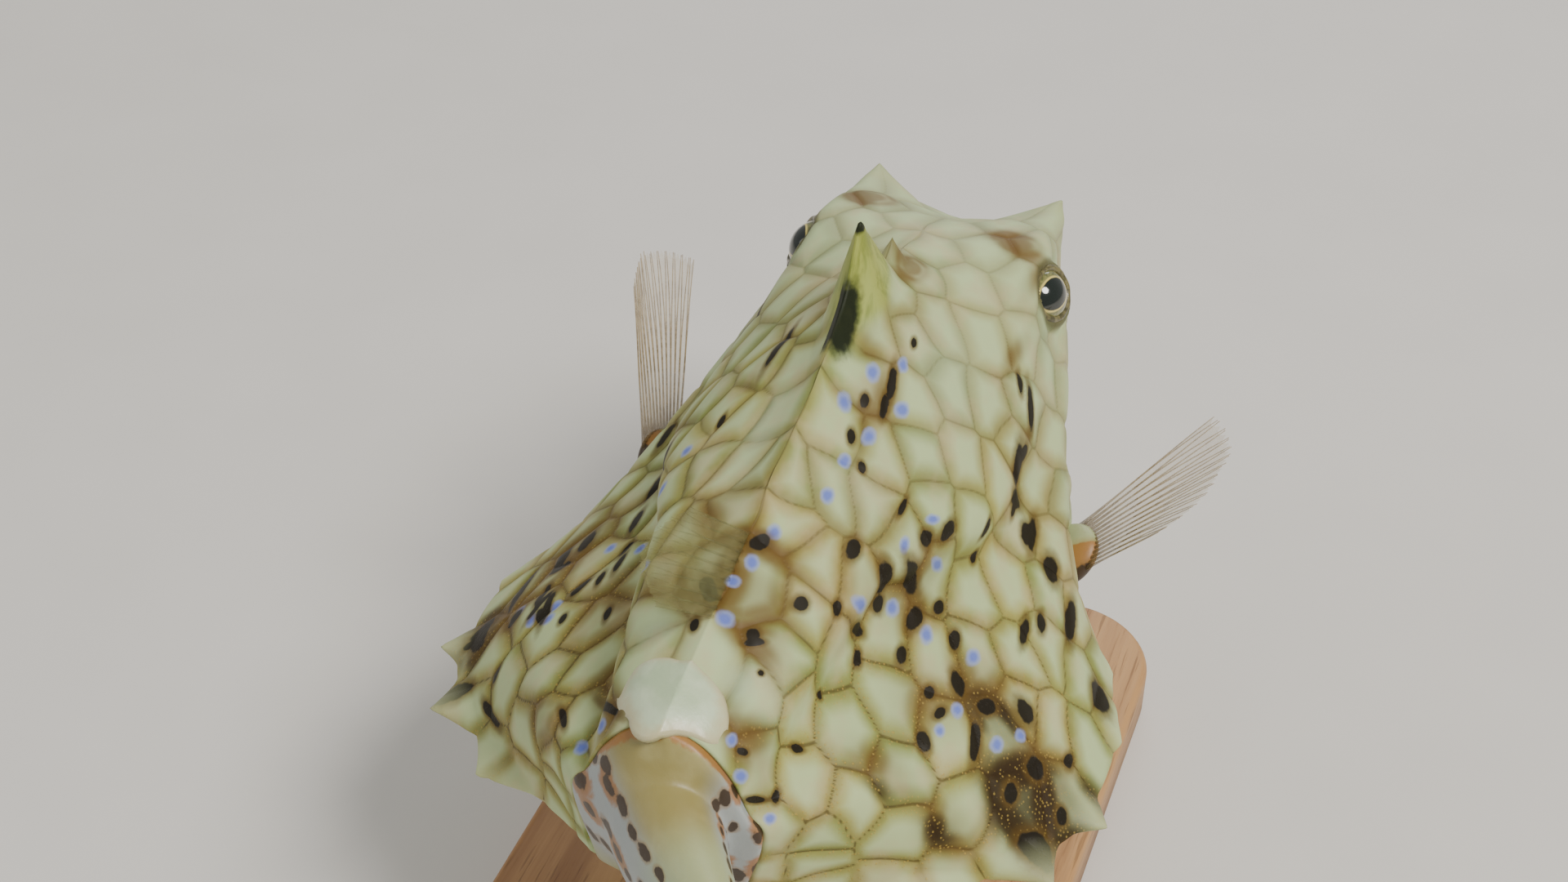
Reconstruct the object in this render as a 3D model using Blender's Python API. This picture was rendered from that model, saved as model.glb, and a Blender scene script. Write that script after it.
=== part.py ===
"""Humpback turretfish (a boxfish) at life size, swimming above a flat display stand.

The fish faces -Y and its left side is +X. The origin is the centre of the base's underside.
The fish is modelled in a frame of its own, whose y is the station along the body, 0 near the
snout, and whose z is 0 near the belly. An empty carries that frame above the stand.
"""

import math
from collections import namedtuple

import bmesh
import bpy
from mathutils import Matrix, Vector

GAP = 0.0003                       # between neighbouring pieces

# Stand
BASE_LENGTH = 0.130
BASE_WIDTH = 0.092
BASE_HEIGHT = 0.010
BASE_CORNER = 0.016
BASE_EDGE = 0.0015
ROD_RADIUS = 0.0022
ROD_PAD_RADIUS = 0.0055
ROD_PAD_HEIGHT = 0.0016
ROD_FLAT_DEPTH = 0.0011            # of the flat cut into the belly for a pad
ROD_SINK = 0.004                   # how deep a rod stands in the base
ROD_STATIONS = {"stand_rod_front": 0.062, "stand_rod_rear": 0.104}
FISH_STATION_OVER_BASE = 0.084     # the station above the middle of the base
FISH_LIFT = 0.046                  # floor to the fish's z = 0

# Shell: the bony box, which runs from the mouth to the tail's root
SHELL_FRONT = -0.006
SHELL_REAR = 0.154
SHELL_LENGTH = SHELL_REAR - SHELL_FRONT
PLATE_COLUMNS = 14                 # plates along the body
FLANK_ROWS = 8                     # rows of plates from the back's crest to the lower ridge
BELLY_ROWS = 4                     # rows from the lower ridge to the belly's midline
ROWS = 2 * (FLANK_ROWS + BELLY_ROWS)
MIDBODY_STRETCH = 0.16             # how much longer the plates are at mid length
PLATE_WANDER = 0.07                # how far a plate's corners stray, in plates
GROOVE_DEPTH = 0.00035
PLATE_SHOULDER = 0.00020
PLATE_CROWN = 0.00045
SHOULDER_RATIO = 0.80              # where the shoulder lies between centre and border
HEAD_END = 0.0505                  # station of the cut between head and torso

# Eyes and brows
EYE_STATION = 0.0380
EYE_OUT = 0.0189
EYE_UP = 0.0450
EYE_RADIUS = 0.0054
EYE_AXIS = Vector((0.84, 0.18, 0.51)).normalized()
ORBIT_RINGS = (                    # height above the eye's centre and radius
    (-0.0040, 0.0078), (0.0017, 0.0068), (0.0035, 0.0056),
)
BROW_BASE = Vector((0.0130, 0.0225, 0.0440))
BROW_TIP = Vector((0.0168, 0.0130, 0.0495))
BROW_RADIUS = 0.0056
BROW_CUT = 0.72                    # how far up a brow horn is parted from the head

# Spine on the back, the low one in front of it, and those along the lower ridges
SPINE_FRONT = 0.0625
SPINE_REAR = 0.0930
SPINE_TIP = Vector((0.0, 0.0766, 0.0785))
SPINE_FOOT = 0.0560                # z of its buried foot
SPINE_CUT = 0.0675                 # z of the cut that parts it from the torso
SPINE_HALF_THICKNESS = 0.0044
LOW_SPINE_BASE = Vector((0.0, 0.0605, 0.0600))
LOW_SPINE_TIP = Vector((0.0, 0.0588, 0.0650))
LOW_SPINE_RADIUS = 0.0019
THORN_PROFILE = ((0.0, 1.0), (0.45, 0.62), (0.8, 0.30))   # height and radius, as ratios
THORN_TIP_RATIO = 0.13
RidgeSpine = namedtuple("RidgeSpine", "station length radius backward")
RIDGE_SPINES = (
    RidgeSpine(0.0840, 0.0010, 0.0020, 0.9),
    RidgeSpine(0.0985, 0.0010, 0.0024, 0.8),
    RidgeSpine(0.1150, 0.0032, 0.0028, 0.9),
    RidgeSpine(0.1275, 0.0040, 0.0028, 1.1),
    RidgeSpine(0.1375, 0.0032, 0.0024, 1.6),
)
RIDGE_SPINE_SINK = 0.0025          # how deep a thorn is rooted in the ridge
RIDGE_SPINE_FLATNESS = 0.55

# White shield at the end of the back
SHIELD_STATION = 0.1490
SHIELD_LENGTH = 0.0080             # half length
SHIELD_WIDTH = 0.0090              # half width
SHIELD_HEIGHT = 0.0011
SHIELD_SINK = 0.0012               # its underside, below the shell's surface
SHIELD_LOBES = 7
SHIELD_LOBE_DEPTH = 0.07
SHIELD_DROOP = 0.16                # slope of the part that overhangs the tail
SHIELD_SIDE_SLOPE = 1.0            # slope beyond the back's shoulders

# Gill slits and nostrils, on the left side
GILL_SLIT = Vector((0.0335, 0.0585, 0.0235))
GILL_RADII = (0.0030, 0.0005, 0.0080)
GILL_HEADING = Vector((0.0, -0.25, 1.0))
NOSTRIL = Vector((0.0158, 0.0170, 0.0395))
NOSTRIL_RADII = (0.0011, 0.0008, 0.0009)

# Mouth
MOUTH_RADIUS = 0.0056
MOUTH_REACH = 0.0068               # from the shell to the lips
MOUTH_DROP = 0.0012                # how far the snout sinks on the way
SNOUT_PROFILE = ((0.0, 1.00), (0.25, 0.95), (0.55, 0.78), (0.80, 0.66), (1.0, 0.50))
SNOUT_WIDTH = 0.95
SNOUT_HEIGHT = 0.80
LIP_HALF_WIDTH = 0.0030
LIP_FORWARD = 0.0007
LIP_PARTING = 0.0004               # from the mouth line to a lip's corner
LIP_ARCH = 0.0012
LIP_CORNER_RADIUS = 0.0009
LIP_SWELL = 0.0005                 # how much thicker a lip is at its middle

# Tail
TAIL_ROOT = Vector((0.0015, SHELL_REAR + GAP, 0.0295))
TAIL_MIDDLE = Vector((-0.0068, 0.1655, 0.0290))
TAIL_END = Vector((-0.0250, 0.1845, 0.0300))
TAIL_ROOT_RADII = (0.0102, 0.0115)
TAIL_END_RADII = (0.0026, 0.0068)
TAIL_TAPER = 0.8

# Fins: a straight root, three points that shape the row of ray tips, and thicknesses
Fin = namedtuple("Fin", "root_start root_end tips rays bow root_half")
FIN_STEPS = 5
MEMBRANE_HALF = 0.00032
MEMBRANE_REACH = 0.95              # where the membrane ends between two ray tips
STUMP_SWELL = 2.8
STUMP_DEPTH = 0.0032
PECTORAL_ROOT = Vector((0.0372, 0.0665, 0.0185))
PECTORAL_ROOT_AXIS = Vector((0.0, 0.82, -0.57))
PECTORAL_ROOT_HALF_LENGTH = 0.0042
PECTORAL_TIPS = {                  # the left fin is raised higher, as in a sculling stroke
    1: ((0.0383, 0.0479, 0.0451), (0.0455, 0.0492, 0.0500), (0.0440, 0.0613, 0.0473)),
    -1: ((-0.0532, 0.0518, 0.0392), (-0.0605, 0.0638, 0.0424), (-0.0504, 0.0775, 0.0345)),
}
PECTORAL_RAYS = 10
PECTORAL_BOW = 0.0022
DORSAL_FIN = Fin((0.0, 0.1225, 0.0562), (0.0, 0.1370, 0.0536),
                 ((0.0055, 0.1310, 0.0640), (0.0105, 0.1430, 0.0665), (0.0045, 0.1465, 0.0590)),
                 9, 0.0010, 0.0009)
ANAL_FIN = Fin((-0.0006, 0.1575, 0.0165), (-0.0100, 0.1690, 0.0178),
               ((-0.0030, 0.1645, 0.0025), (-0.0090, 0.1760, -0.0040), (-0.0140, 0.1815, 0.0120)),
               9, 0.0010, 0.0009)
CAUDAL_ROOT_HALF_HEIGHT = 0.0058
CAUDAL_REACH = 0.036
CAUDAL_EDGE_RATIO = 0.80           # reach of the outer rays
CAUDAL_MIDDLE_RATIO = 1.22
CAUDAL_HALF_HEIGHT = 0.0165
CAUDAL_SWEEP = Vector((-0.0040, 0.0, 0.0))
CAUDAL_RAYS = 10
CAUDAL_BOW = 0.0012
CAUDAL_ROOT_HALF = 0.0013

SKIN_PALE = (0.62, 0.60, 0.42, 1.0)
SKIN_TAN = (0.55, 0.40, 0.22, 1.0)
SPINE_GREEN = (0.42, 0.48, 0.20, 1.0)
FIN_AMBER = (0.50, 0.42, 0.26, 1.0)
EYE_DARK = (0.02, 0.04, 0.03, 1.0)
OAK = (0.52, 0.36, 0.20, 1.0)
STEEL = (0.60, 0.60, 0.60, 1.0)


def curve(*points):
    """A monotone cubic through (station, value) points, as a function of the station."""
    stations = [point[0] for point in points]
    values = [point[1] for point in points]
    steps = [b - a for a, b in zip(stations, stations[1:])]
    slopes = [(b - a) / step for a, b, step in zip(values, values[1:], steps)]
    tangents = [slopes[0]]
    for before, after, left, right in zip(slopes, slopes[1:], steps, steps[1:]):
        if before * after <= 0.0:
            tangents.append(0.0)
        else:
            weight_left = 2.0 * right + left
            weight_right = right + 2.0 * left
            total = weight_left + weight_right
            tangents.append(total / (weight_left / before + weight_right / after))
    tangents.append(slopes[-1])

    def value_at(station):
        station = min(max(station, stations[0]), stations[-1])
        index = 0
        while index < len(steps) - 1 and station > stations[index + 1]:
            index += 1
        step = steps[index]
        t = (station - stations[index]) / step
        return (
            values[index] * (1 + 2 * t) * (1 - t) ** 2
            + tangents[index] * step * t * (1 - t) ** 2
            + values[index + 1] * t * t * (3 - 2 * t)
            + tangents[index + 1] * step * t * t * (t - 1)
        )

    return value_at


# Half sections of the shell, as curves along the body: the back's crest, the roof,
# its shoulder and the drop under it, the waist of the flank, the lower ridge and the belly's midline.
crest_up = curve(
    (-0.006, 0.0210), (0.014, 0.0440), (0.028, 0.0520), (0.050, 0.0585), (0.074, 0.0655),
    (0.097, 0.0595), (0.127, 0.0532), (0.154, 0.0460),
)
roof_out = curve((-0.006, 0.0060), (0.024, 0.0165), (0.043, 0.0187), (0.085, 0.0150),
                 (0.122, 0.0092), (0.154, 0.0058))
roof_drop = curve((-0.006, 0.0025), (0.024, 0.0000), (0.036, 0.0018), (0.050, 0.0085),
                  (0.072, 0.0155), (0.085, 0.0115), (0.105, 0.0062), (0.122, 0.0036),
                  (0.154, 0.0026))
shoulder_out = curve((-0.006, 0.0072), (0.024, 0.0190), (0.043, 0.0225), (0.060, 0.0250),
                     (0.081, 0.0262), (0.100, 0.0222), (0.118, 0.0162), (0.127, 0.0148),
                     (0.154, 0.0098))
shoulder_up = curve((-0.006, 0.0172), (0.024, 0.0440), (0.043, 0.0425), (0.060, 0.0405),
                    (0.081, 0.0385), (0.100, 0.0425), (0.118, 0.0455), (0.135, 0.0435),
                    (0.154, 0.0385))
drop_out = curve((-0.006, 0.0076), (0.024, 0.0202), (0.043, 0.0245), (0.060, 0.0280),
                 (0.081, 0.0285), (0.100, 0.0238), (0.118, 0.0178), (0.127, 0.0164),
                 (0.154, 0.0122))
drop_up = curve((-0.006, 0.0163), (0.024, 0.0400), (0.043, 0.0380), (0.060, 0.0345),
                (0.081, 0.0310), (0.100, 0.0340), (0.118, 0.0365), (0.135, 0.0355),
                (0.154, 0.0330))
waist_out = curve((-0.006, 0.0080), (0.024, 0.0210), (0.055, 0.0300), (0.085, 0.0372),
                  (0.112, 0.0365), (0.135, 0.0290), (0.154, 0.0145))
waist_up = curve((-0.006, 0.0155), (0.006, 0.0210), (0.024, 0.0360), (0.040, 0.0345),
                 (0.060, 0.0285), (0.085, 0.0230), (0.120, 0.0250), (0.154, 0.0290))
ridge_out = curve((-0.006, 0.0070), (0.014, 0.0160), (0.043, 0.0260), (0.067, 0.0355),
                  (0.083, 0.0460), (0.102, 0.0518), (0.114, 0.0515), (0.127, 0.0465),
                  (0.148, 0.0180), (0.154, 0.0120))
ridge_up = curve((-0.006, 0.0115), (0.010, 0.0098), (0.135, 0.0092), (0.154, 0.0165))
belly_up = curve((-0.006, 0.0095), (0.020, 0.0025), (0.090, -0.0010), (0.138, 0.0050),
                 (0.154, 0.0145))


def spline_walk(points, steps=24):
    """A Catmull-Rom line through 2D points, as closely spaced points."""
    first = tuple(2 * a - b for a, b in zip(points[0], points[1]))
    last = tuple(2 * a - b for a, b in zip(points[-1], points[-2]))
    frame = [first, *points, last]
    walk = []
    for p0, p1, p2, p3 in zip(frame, frame[1:], frame[2:], frame[3:]):
        for step in range(steps):
            t = step / steps
            walk.append(tuple(
                0.5 * (2 * b + (c - a) * t + (2 * a - 5 * b + 4 * c - d) * t * t
                       + (3 * b - a - 3 * c + d) * t ** 3)
                for a, b, c, d in zip(p0, p1, p2, p3)
            ))
    walk.append(tuple(points[-1]))
    return walk


def point_along(walk, fraction):
    """The point at a fraction of a line's length."""
    lengths = [math.dist(a, b) for a, b in zip(walk, walk[1:])]
    remaining = fraction * sum(lengths)
    for start, end, length in zip(walk, walk[1:], lengths):
        if remaining <= length:
            t = remaining / length
            return tuple(a + (b - a) * t for a, b in zip(start, end))
        remaining -= length
    return walk[-1]


def section(station):
    """The flank's and the belly's half outlines, as (out, up) points."""
    crest = (0.0, crest_up(station))
    roof = (roof_out(station), crest_up(station) - roof_drop(station))
    shoulder = (shoulder_out(station), shoulder_up(station))
    drop = (drop_out(station), drop_up(station))
    waist = (waist_out(station), waist_up(station))
    ridge = (ridge_out(station), ridge_up(station))
    midline = (0.0, belly_up(station))
    under = (0.6 * ridge[0], 0.25 * ridge[1] + 0.75 * midline[1])
    flank = spline_walk((crest, roof, shoulder, drop, waist, ridge))
    return flank, spline_walk((ridge, under, midline))


def shell_point(station, row):
    """The smooth shell's surface: row 0 is the crest, and rows count round the left side."""
    row = (row + ROWS / 2) % ROWS - ROWS / 2
    flank, belly = section(station)
    if abs(row) <= FLANK_ROWS:
        out, up = point_along(flank, abs(row) / FLANK_ROWS)
    else:
        out, up = point_along(belly, (abs(row) - FLANK_ROWS) / BELLY_ROWS)
    return Vector((math.copysign(out, row), station, up))


def shell_normal(station, row):
    along = shell_point(station + 0.001, row) - shell_point(station - 0.001, row)
    around = shell_point(station, row + 0.15) - shell_point(station, row - 0.15)
    return around.cross(along).normalized()


def station_of(column):
    """Plates are longest at mid body and shorter towards the snout and the tail."""
    last = PLATE_COLUMNS - 0.5
    t = min(max(column, 0.0), last) / last
    return SHELL_FRONT + SHELL_LENGTH * (
        t - MIDBODY_STRETCH * math.sin(2 * math.pi * t) / (2 * math.pi))


def wander(column, row):
    """Shift lattice coordinates a little, so that no two plates are alike."""
    last = PLATE_COLUMNS - 0.5
    ends = min(1.0, max(0.0, min(column, last - column)))
    lines = abs(math.sin(math.pi * row / FLANK_ROWS)) if abs(row) <= FLANK_ROWS else 0.4
    shift = PLATE_WANDER * ends
    return (
        column + shift * (math.sin(1.9 * row + 2.3 * column) + math.sin(4.1 * row - 1.3 * column)),
        row + shift * lines * (math.sin(2.7 * column - 1.1 * row) + math.sin(3.3 * row + column)),
    )


def raised_point(column, row, height):
    column, row = wander(column, row)
    station = station_of(column)
    point = shell_point(station, row)
    if height == 0.0:
        return point
    return point + height * shell_normal(station, row)


def plated_shell():
    """The closed shell of six-sided plates with sunken borders and raised middles."""
    mesh = bmesh.new()
    last = PLATE_COLUMNS - 0.5
    border = {}
    ends = {0.0: [], last: []}

    def border_vertex(column, row):
        column = min(max(column, 0.0), last)
        row = (row + ROWS / 2) % ROWS - ROWS / 2
        key = (round(2 * column), round(3 * row) % (3 * ROWS))
        if key not in border:
            at_end = column in ends
            point = raised_point(column, row, 0.0 if at_end else -GROOVE_DEPTH)
            border[key] = mesh.verts.new(point)
            if at_end:
                ends[column].append((row, border[key]))
        return border[key]

    for row in range(-ROWS // 2, ROWS // 2):
        on_line = row % FLANK_ROWS == 0 or row == -ROWS // 2
        for plate in range(PLATE_COLUMNS):
            middle = plate + 0.5 * (row % 2)
            corners = [(0.5, -1 / 3), (0.5, 1 / 3), (0.0, 2 / 3),
                       (-0.5, 1 / 3), (-0.5, -1 / 3), (0.0, -2 / 3)]
            if on_line:
                corners.insert(1, (0.5, 0.0))
                corners.insert(5, (-0.5, 0.0))
            places = []
            outline = []
            for along, around in corners:
                column = min(max(middle + along, 0.0), last)
                outline.append(border_vertex(column, row + around))
                places.append((column, row + around))
            centre_column = sum(place[0] for place in places) / len(places)
            crown = mesh.verts.new(raised_point(centre_column, row, PLATE_CROWN))
            shoulder = []
            for column, around in places:
                shoulder.append(mesh.verts.new(raised_point(
                    centre_column + SHOULDER_RATIO * (column - centre_column),
                    row + SHOULDER_RATIO * (around - row), PLATE_SHOULDER)))
            for index in range(len(outline)):
                following = (index + 1) % len(outline)
                mesh.faces.new((crown, shoulder[index], shoulder[following]))
                mesh.faces.new((shoulder[index], outline[index], outline[following]))
                mesh.faces.new((shoulder[index], outline[following], shoulder[following]))
    for column, rim in ends.items():
        rim.sort(key=lambda item: item[0])
        loop = [vertex for _, vertex in rim]
        centre = mesh.verts.new(sum((vertex.co for vertex in loop), Vector()) / len(loop))
        for index, vertex in enumerate(loop):
            mesh.faces.new((centre, vertex, loop[(index + 1) % len(loop)]))
    bmesh.ops.recalc_face_normals(mesh, faces=mesh.faces)
    return mesh


def new_object(name, mesh, material=None):
    data = bpy.data.meshes.new(name)
    mesh.to_mesh(data)
    mesh.free()
    piece = bpy.data.objects.new(name, data)
    bpy.context.scene.collection.objects.link(piece)
    if material:
        data.materials.append(material)
    return piece


def new_material(name, colour, roughness, metallic=0.0):
    material = bpy.data.materials.new(name)
    material.use_nodes = True
    shader = material.node_tree.nodes["Principled BSDF"]
    shader.inputs["Base Color"].default_value = colour
    shader.inputs["Roughness"].default_value = roughness
    shader.inputs["Metallic"].default_value = metallic
    return material


def apply_modifiers(piece):
    bpy.context.view_layer.update()
    evaluated = piece.evaluated_get(bpy.context.evaluated_depsgraph_get())
    data = bpy.data.meshes.new_from_object(evaluated)
    piece.modifiers.clear()
    piece.data = data


def keep_largest_body(piece):
    """Drop every closed surface but the largest one."""
    mesh = bmesh.new()
    mesh.from_mesh(piece.data)
    bmesh.ops.triangulate(mesh, faces=mesh.faces)
    bmesh.ops.dissolve_degenerate(mesh, edges=mesh.edges, dist=1e-6)
    mesh.verts.ensure_lookup_table()
    unseen = set(mesh.verts)
    groups = []
    while unseen:
        group = set()
        waiting = [unseen.pop()]
        while waiting:
            vertex = waiting.pop()
            group.add(vertex)
            for edge in vertex.link_edges:
                other = edge.other_vert(vertex)
                if other in unseen:
                    unseen.remove(other)
                    waiting.append(other)
        groups.append(group)
    groups.sort(key=len)
    for group in groups[:-1]:
        bmesh.ops.delete(mesh, geom=list(group), context="VERTS")
    mesh.to_mesh(piece.data)
    mesh.free()


def combine(body, pieces, operation):
    """Join closed pieces to a body, or cut them out of it, and remove them."""
    group = bpy.data.collections.new(body.name + "_pieces")
    for piece in pieces:
        group.objects.link(piece)
    boolean = body.modifiers.new("combine", "BOOLEAN")
    boolean.operation = operation
    boolean.operand_type = "COLLECTION"
    boolean.collection = group
    boolean.solver = "EXACT"
    apply_modifiers(body)
    for piece in pieces:
        bpy.data.objects.remove(piece)
    bpy.data.collections.remove(group)
    keep_largest_body(body)


def cut_open(mesh, point, normal):
    """Remove what lies on the normal's side of a plane and close the cut."""
    geometry = mesh.verts[:] + mesh.edges[:] + mesh.faces[:]
    bmesh.ops.bisect_plane(mesh, geom=geometry, dist=1e-6, plane_co=point, plane_no=normal,
                           clear_outer=True)
    rim = [edge for edge in mesh.edges if edge.is_boundary]
    if rim:
        bmesh.ops.edgeloop_fill(mesh, edges=rim)
    bmesh.ops.triangulate(mesh, faces=mesh.faces)
    bmesh.ops.recalc_face_normals(mesh, faces=mesh.faces)


def loft(sections):
    """A closed solid through rings of points, with flat ends."""
    mesh = bmesh.new()
    rings = [[mesh.verts.new(point) for point in ring] for ring in sections]
    for lower, upper in zip(rings, rings[1:]):
        for index in range(len(lower)):
            following = (index + 1) % len(lower)
            mesh.faces.new((lower[index], lower[following], upper[following], upper[index]))
    mesh.faces.new(reversed(rings[0]))
    mesh.faces.new(rings[-1])
    bmesh.ops.triangulate(mesh, faces=mesh.faces)
    bmesh.ops.recalc_face_normals(mesh, faces=mesh.faces)
    return mesh


def circle(sides):
    """Angles round a ring, starting at zero."""
    return [2 * math.pi * side / sides for side in range(sides)]


def thorn(base, tip, radius, sides, flatness=1.0):
    """A blunt cone with hollow flanks from base to tip, flattened along Z."""
    axis = tip - base
    bend = axis.to_track_quat("Z", "X").to_matrix()
    rings = []
    for height, scale in (*THORN_PROFILE, (1.0, THORN_TIP_RATIO)):
        ring = []
        for angle in circle(sides):
            offset = bend @ Vector((math.cos(angle), math.sin(angle), 0.0)) * radius * scale
            offset.z *= flatness
            ring.append(base + height * axis + offset)
        rings.append(ring)
    return loft(rings)


def ellipsoid(centre, radii, segments=14, rings=8, turn=None):
    mesh = bmesh.new()
    bmesh.ops.create_uvsphere(mesh, u_segments=segments, v_segments=rings, radius=1.0)
    matrix = Matrix.Translation(centre) @ (turn or Matrix()) @ Matrix.Diagonal((*radii, 1.0))
    bmesh.ops.transform(mesh, matrix=matrix, verts=mesh.verts)
    bmesh.ops.triangulate(mesh, faces=mesh.faces)
    return mesh


def mirrored(point, side):
    return Vector((side * point[0], point[1], point[2]))


def turn_to(axis, side_hint):
    """A rotation whose local Z is the axis and whose local X lies near the hint."""
    z = axis.normalized()
    y = z.cross(side_hint).normalized()
    x = y.cross(z)
    return Matrix((x, y, z)).transposed().to_4x4()


def as_vectors(fin):
    return fin._replace(root_start=Vector(fin.root_start), root_end=Vector(fin.root_end),
                        tips=[Vector(tip) for tip in fin.tips])


def fin_axes(fin):
    """Unit vectors along the root, across the fin and out from the root."""
    along = (fin.root_end - fin.root_start).normalized()
    out = fin.tips[1] - (fin.root_start + fin.root_end) / 2
    across = along.cross(out).normalized()
    return along, across, across.cross(along).normalized()


def fin_solid(fin):
    """Rays as ridges on a thin membrane, both faces split into triangles alike."""
    fin = as_vectors(fin)
    across = fin_axes(fin)[1]
    columns = 2 * fin.rays - 1
    first, middle, last = fin.tips
    mesh = bmesh.new()
    faces = {1: [], -1: []}
    for column in range(columns):
        s = column / (columns - 1)
        on_ray = column % 2 == 0
        root = fin.root_start.lerp(fin.root_end, s)
        tip = (1 - s) ** 2 * first + 2 * s * (1 - s) * middle + s * s * last
        reach = 1.0 if on_ray else MEMBRANE_REACH
        lines = {1: [], -1: []}
        for step in range(FIN_STEPS + 1):
            t = reach * step / FIN_STEPS
            point = root.lerp(tip, t) + across * fin.bow * math.sin(math.pi * s) * t * t
            ridge = fin.root_half + (MEMBRANE_HALF - fin.root_half) * t
            half = ridge if on_ray or step == 0 else MEMBRANE_HALF
            for side in (1, -1):
                lines[side].append(mesh.verts.new(point + side * half * across))
        for side in (1, -1):
            faces[side].append(lines[side])
    for side in (1, -1):
        for left, right in zip(faces[side], faces[side][1:]):
            for step in range(FIN_STEPS):
                mesh.faces.new((left[step], right[step], right[step + 1]))
                mesh.faces.new((left[step], right[step + 1], left[step + 1]))
    front, back = faces[1], faces[-1]
    rims = [
        [(line[0], other[0]) for line, other in zip(front, back)],
        [(line[-1], other[-1]) for line, other in zip(front, back)],
        list(zip(front[0], back[0])),
        list(zip(front[-1], back[-1])),
    ]
    for rim in rims:
        for (a, b), (c, d) in zip(rim, rim[1:]):
            mesh.faces.new((a, b, d))
            mesh.faces.new((a, d, c))
    bmesh.ops.recalc_face_normals(mesh, faces=mesh.faces)
    return mesh


def fin_stump(fin):
    """The fleshy root under a fin, cut flat one gap below the fin's own root face."""
    fin = as_vectors(fin)
    along, across, out = fin_axes(fin)
    middle = (fin.root_start + fin.root_end) / 2
    half_length = (fin.root_end - fin.root_start).length / 2
    mesh = ellipsoid(middle - STUMP_DEPTH * out,
                     (half_length * 1.35, fin.root_half * STUMP_SWELL, STUMP_DEPTH * 2.2),
                     turn=Matrix((along, across, out)).transposed().to_4x4())
    cut_open(mesh, middle - GAP * out, out)
    return mesh


def pectoral(side):
    root = mirrored(PECTORAL_ROOT, side)
    tips = PECTORAL_TIPS[side]
    out = (Vector(tips[1]) - root).normalized()
    along = (PECTORAL_ROOT_AXIS - PECTORAL_ROOT_AXIS.dot(out) * out).normalized()
    reach = PECTORAL_ROOT_HALF_LENGTH * along
    return Fin(root - reach, root + reach, tips, PECTORAL_RAYS, PECTORAL_BOW * side,
               DORSAL_FIN.root_half)


def tail_direction():
    return (TAIL_END - TAIL_MIDDLE).normalized()


def caudal():
    heading = tail_direction()
    root = TAIL_END + GAP * heading
    up = Vector((0.0, 0.0, 1.0))
    edge = root + CAUDAL_REACH * CAUDAL_EDGE_RATIO * heading + CAUDAL_SWEEP
    middle = root + CAUDAL_REACH * CAUDAL_MIDDLE_RATIO * heading + CAUDAL_SWEEP
    return Fin(root - CAUDAL_ROOT_HALF_HEIGHT * up, root + CAUDAL_ROOT_HALF_HEIGHT * up,
               (edge - CAUDAL_HALF_HEIGHT * up, middle, edge + CAUDAL_HALF_HEIGHT * up),
               CAUDAL_RAYS, CAUDAL_BOW, CAUDAL_ROOT_HALF)


def brow_cut(side):
    base, tip = mirrored(BROW_BASE, side), mirrored(BROW_TIP, side)
    return base.lerp(tip, BROW_CUT), (tip - base).normalized()


def brow(side):
    base, tip = mirrored(BROW_BASE, side), mirrored(BROW_TIP, side)
    return thorn(base, tip, BROW_RADIUS, 10)


def orbit(side):
    """The raised ring round an eye, a low frustum along the line of sight."""
    axis = mirrored(EYE_AXIS, side)
    centre = mirrored((EYE_OUT, EYE_STATION, EYE_UP), side)
    turn = turn_to(axis, Vector((0.0, 1.0, 0.0)))
    rings = []
    for height, radius in ORBIT_RINGS:
        rings.append([
            centre + turn @ Vector((radius * math.cos(angle), radius * math.sin(angle), height))
            for angle in circle(18)
        ])
    return loft(rings)


def back_spine():
    """A thick, leaf-like thorn whose rear keel runs down into the crest."""
    rings = []
    levels = 7
    for level in range(levels + 1):
        t = level / levels
        up = SPINE_FOOT + (SPINE_TIP.z - SPINE_FOOT) * t
        front = SPINE_FRONT + (SPINE_TIP.y - 0.0005 - SPINE_FRONT) * t ** 1.1
        rear = SPINE_REAR + (SPINE_TIP.y + 0.0005 - SPINE_REAR) * t ** 0.62
        half = SPINE_HALF_THICKNESS * (1 - t) ** 0.85 + 0.00035
        middle = front + 0.42 * (rear - front)
        ring = []
        for angle in circle(12):
            reach = (rear - middle) if math.cos(angle) > 0 else (middle - front)
            ring.append(Vector((half * math.sin(angle), middle + reach * math.cos(angle), up)))
        rings.append(ring)
    return loft(rings)


def ridge_spine(spec, side):
    """A short thorn that leaves the lower ridge outwards and backwards."""
    out = ridge_out(spec.station)
    base = Vector((side * (out - RIDGE_SPINE_SINK), spec.station, ridge_up(spec.station)))
    slope = (ridge_out(spec.station + 0.002) - ridge_out(spec.station - 0.002)) / 0.004
    normal = Vector((side, -slope, 0.0)).normalized()
    heading = (normal + Vector((0.0, spec.backward * 0.6, 0.05))).normalized()
    tip = base + heading * (spec.length + RIDGE_SPINE_SINK)
    return thorn(base, tip, spec.radius, 6, RIDGE_SPINE_FLATNESS)


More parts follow.
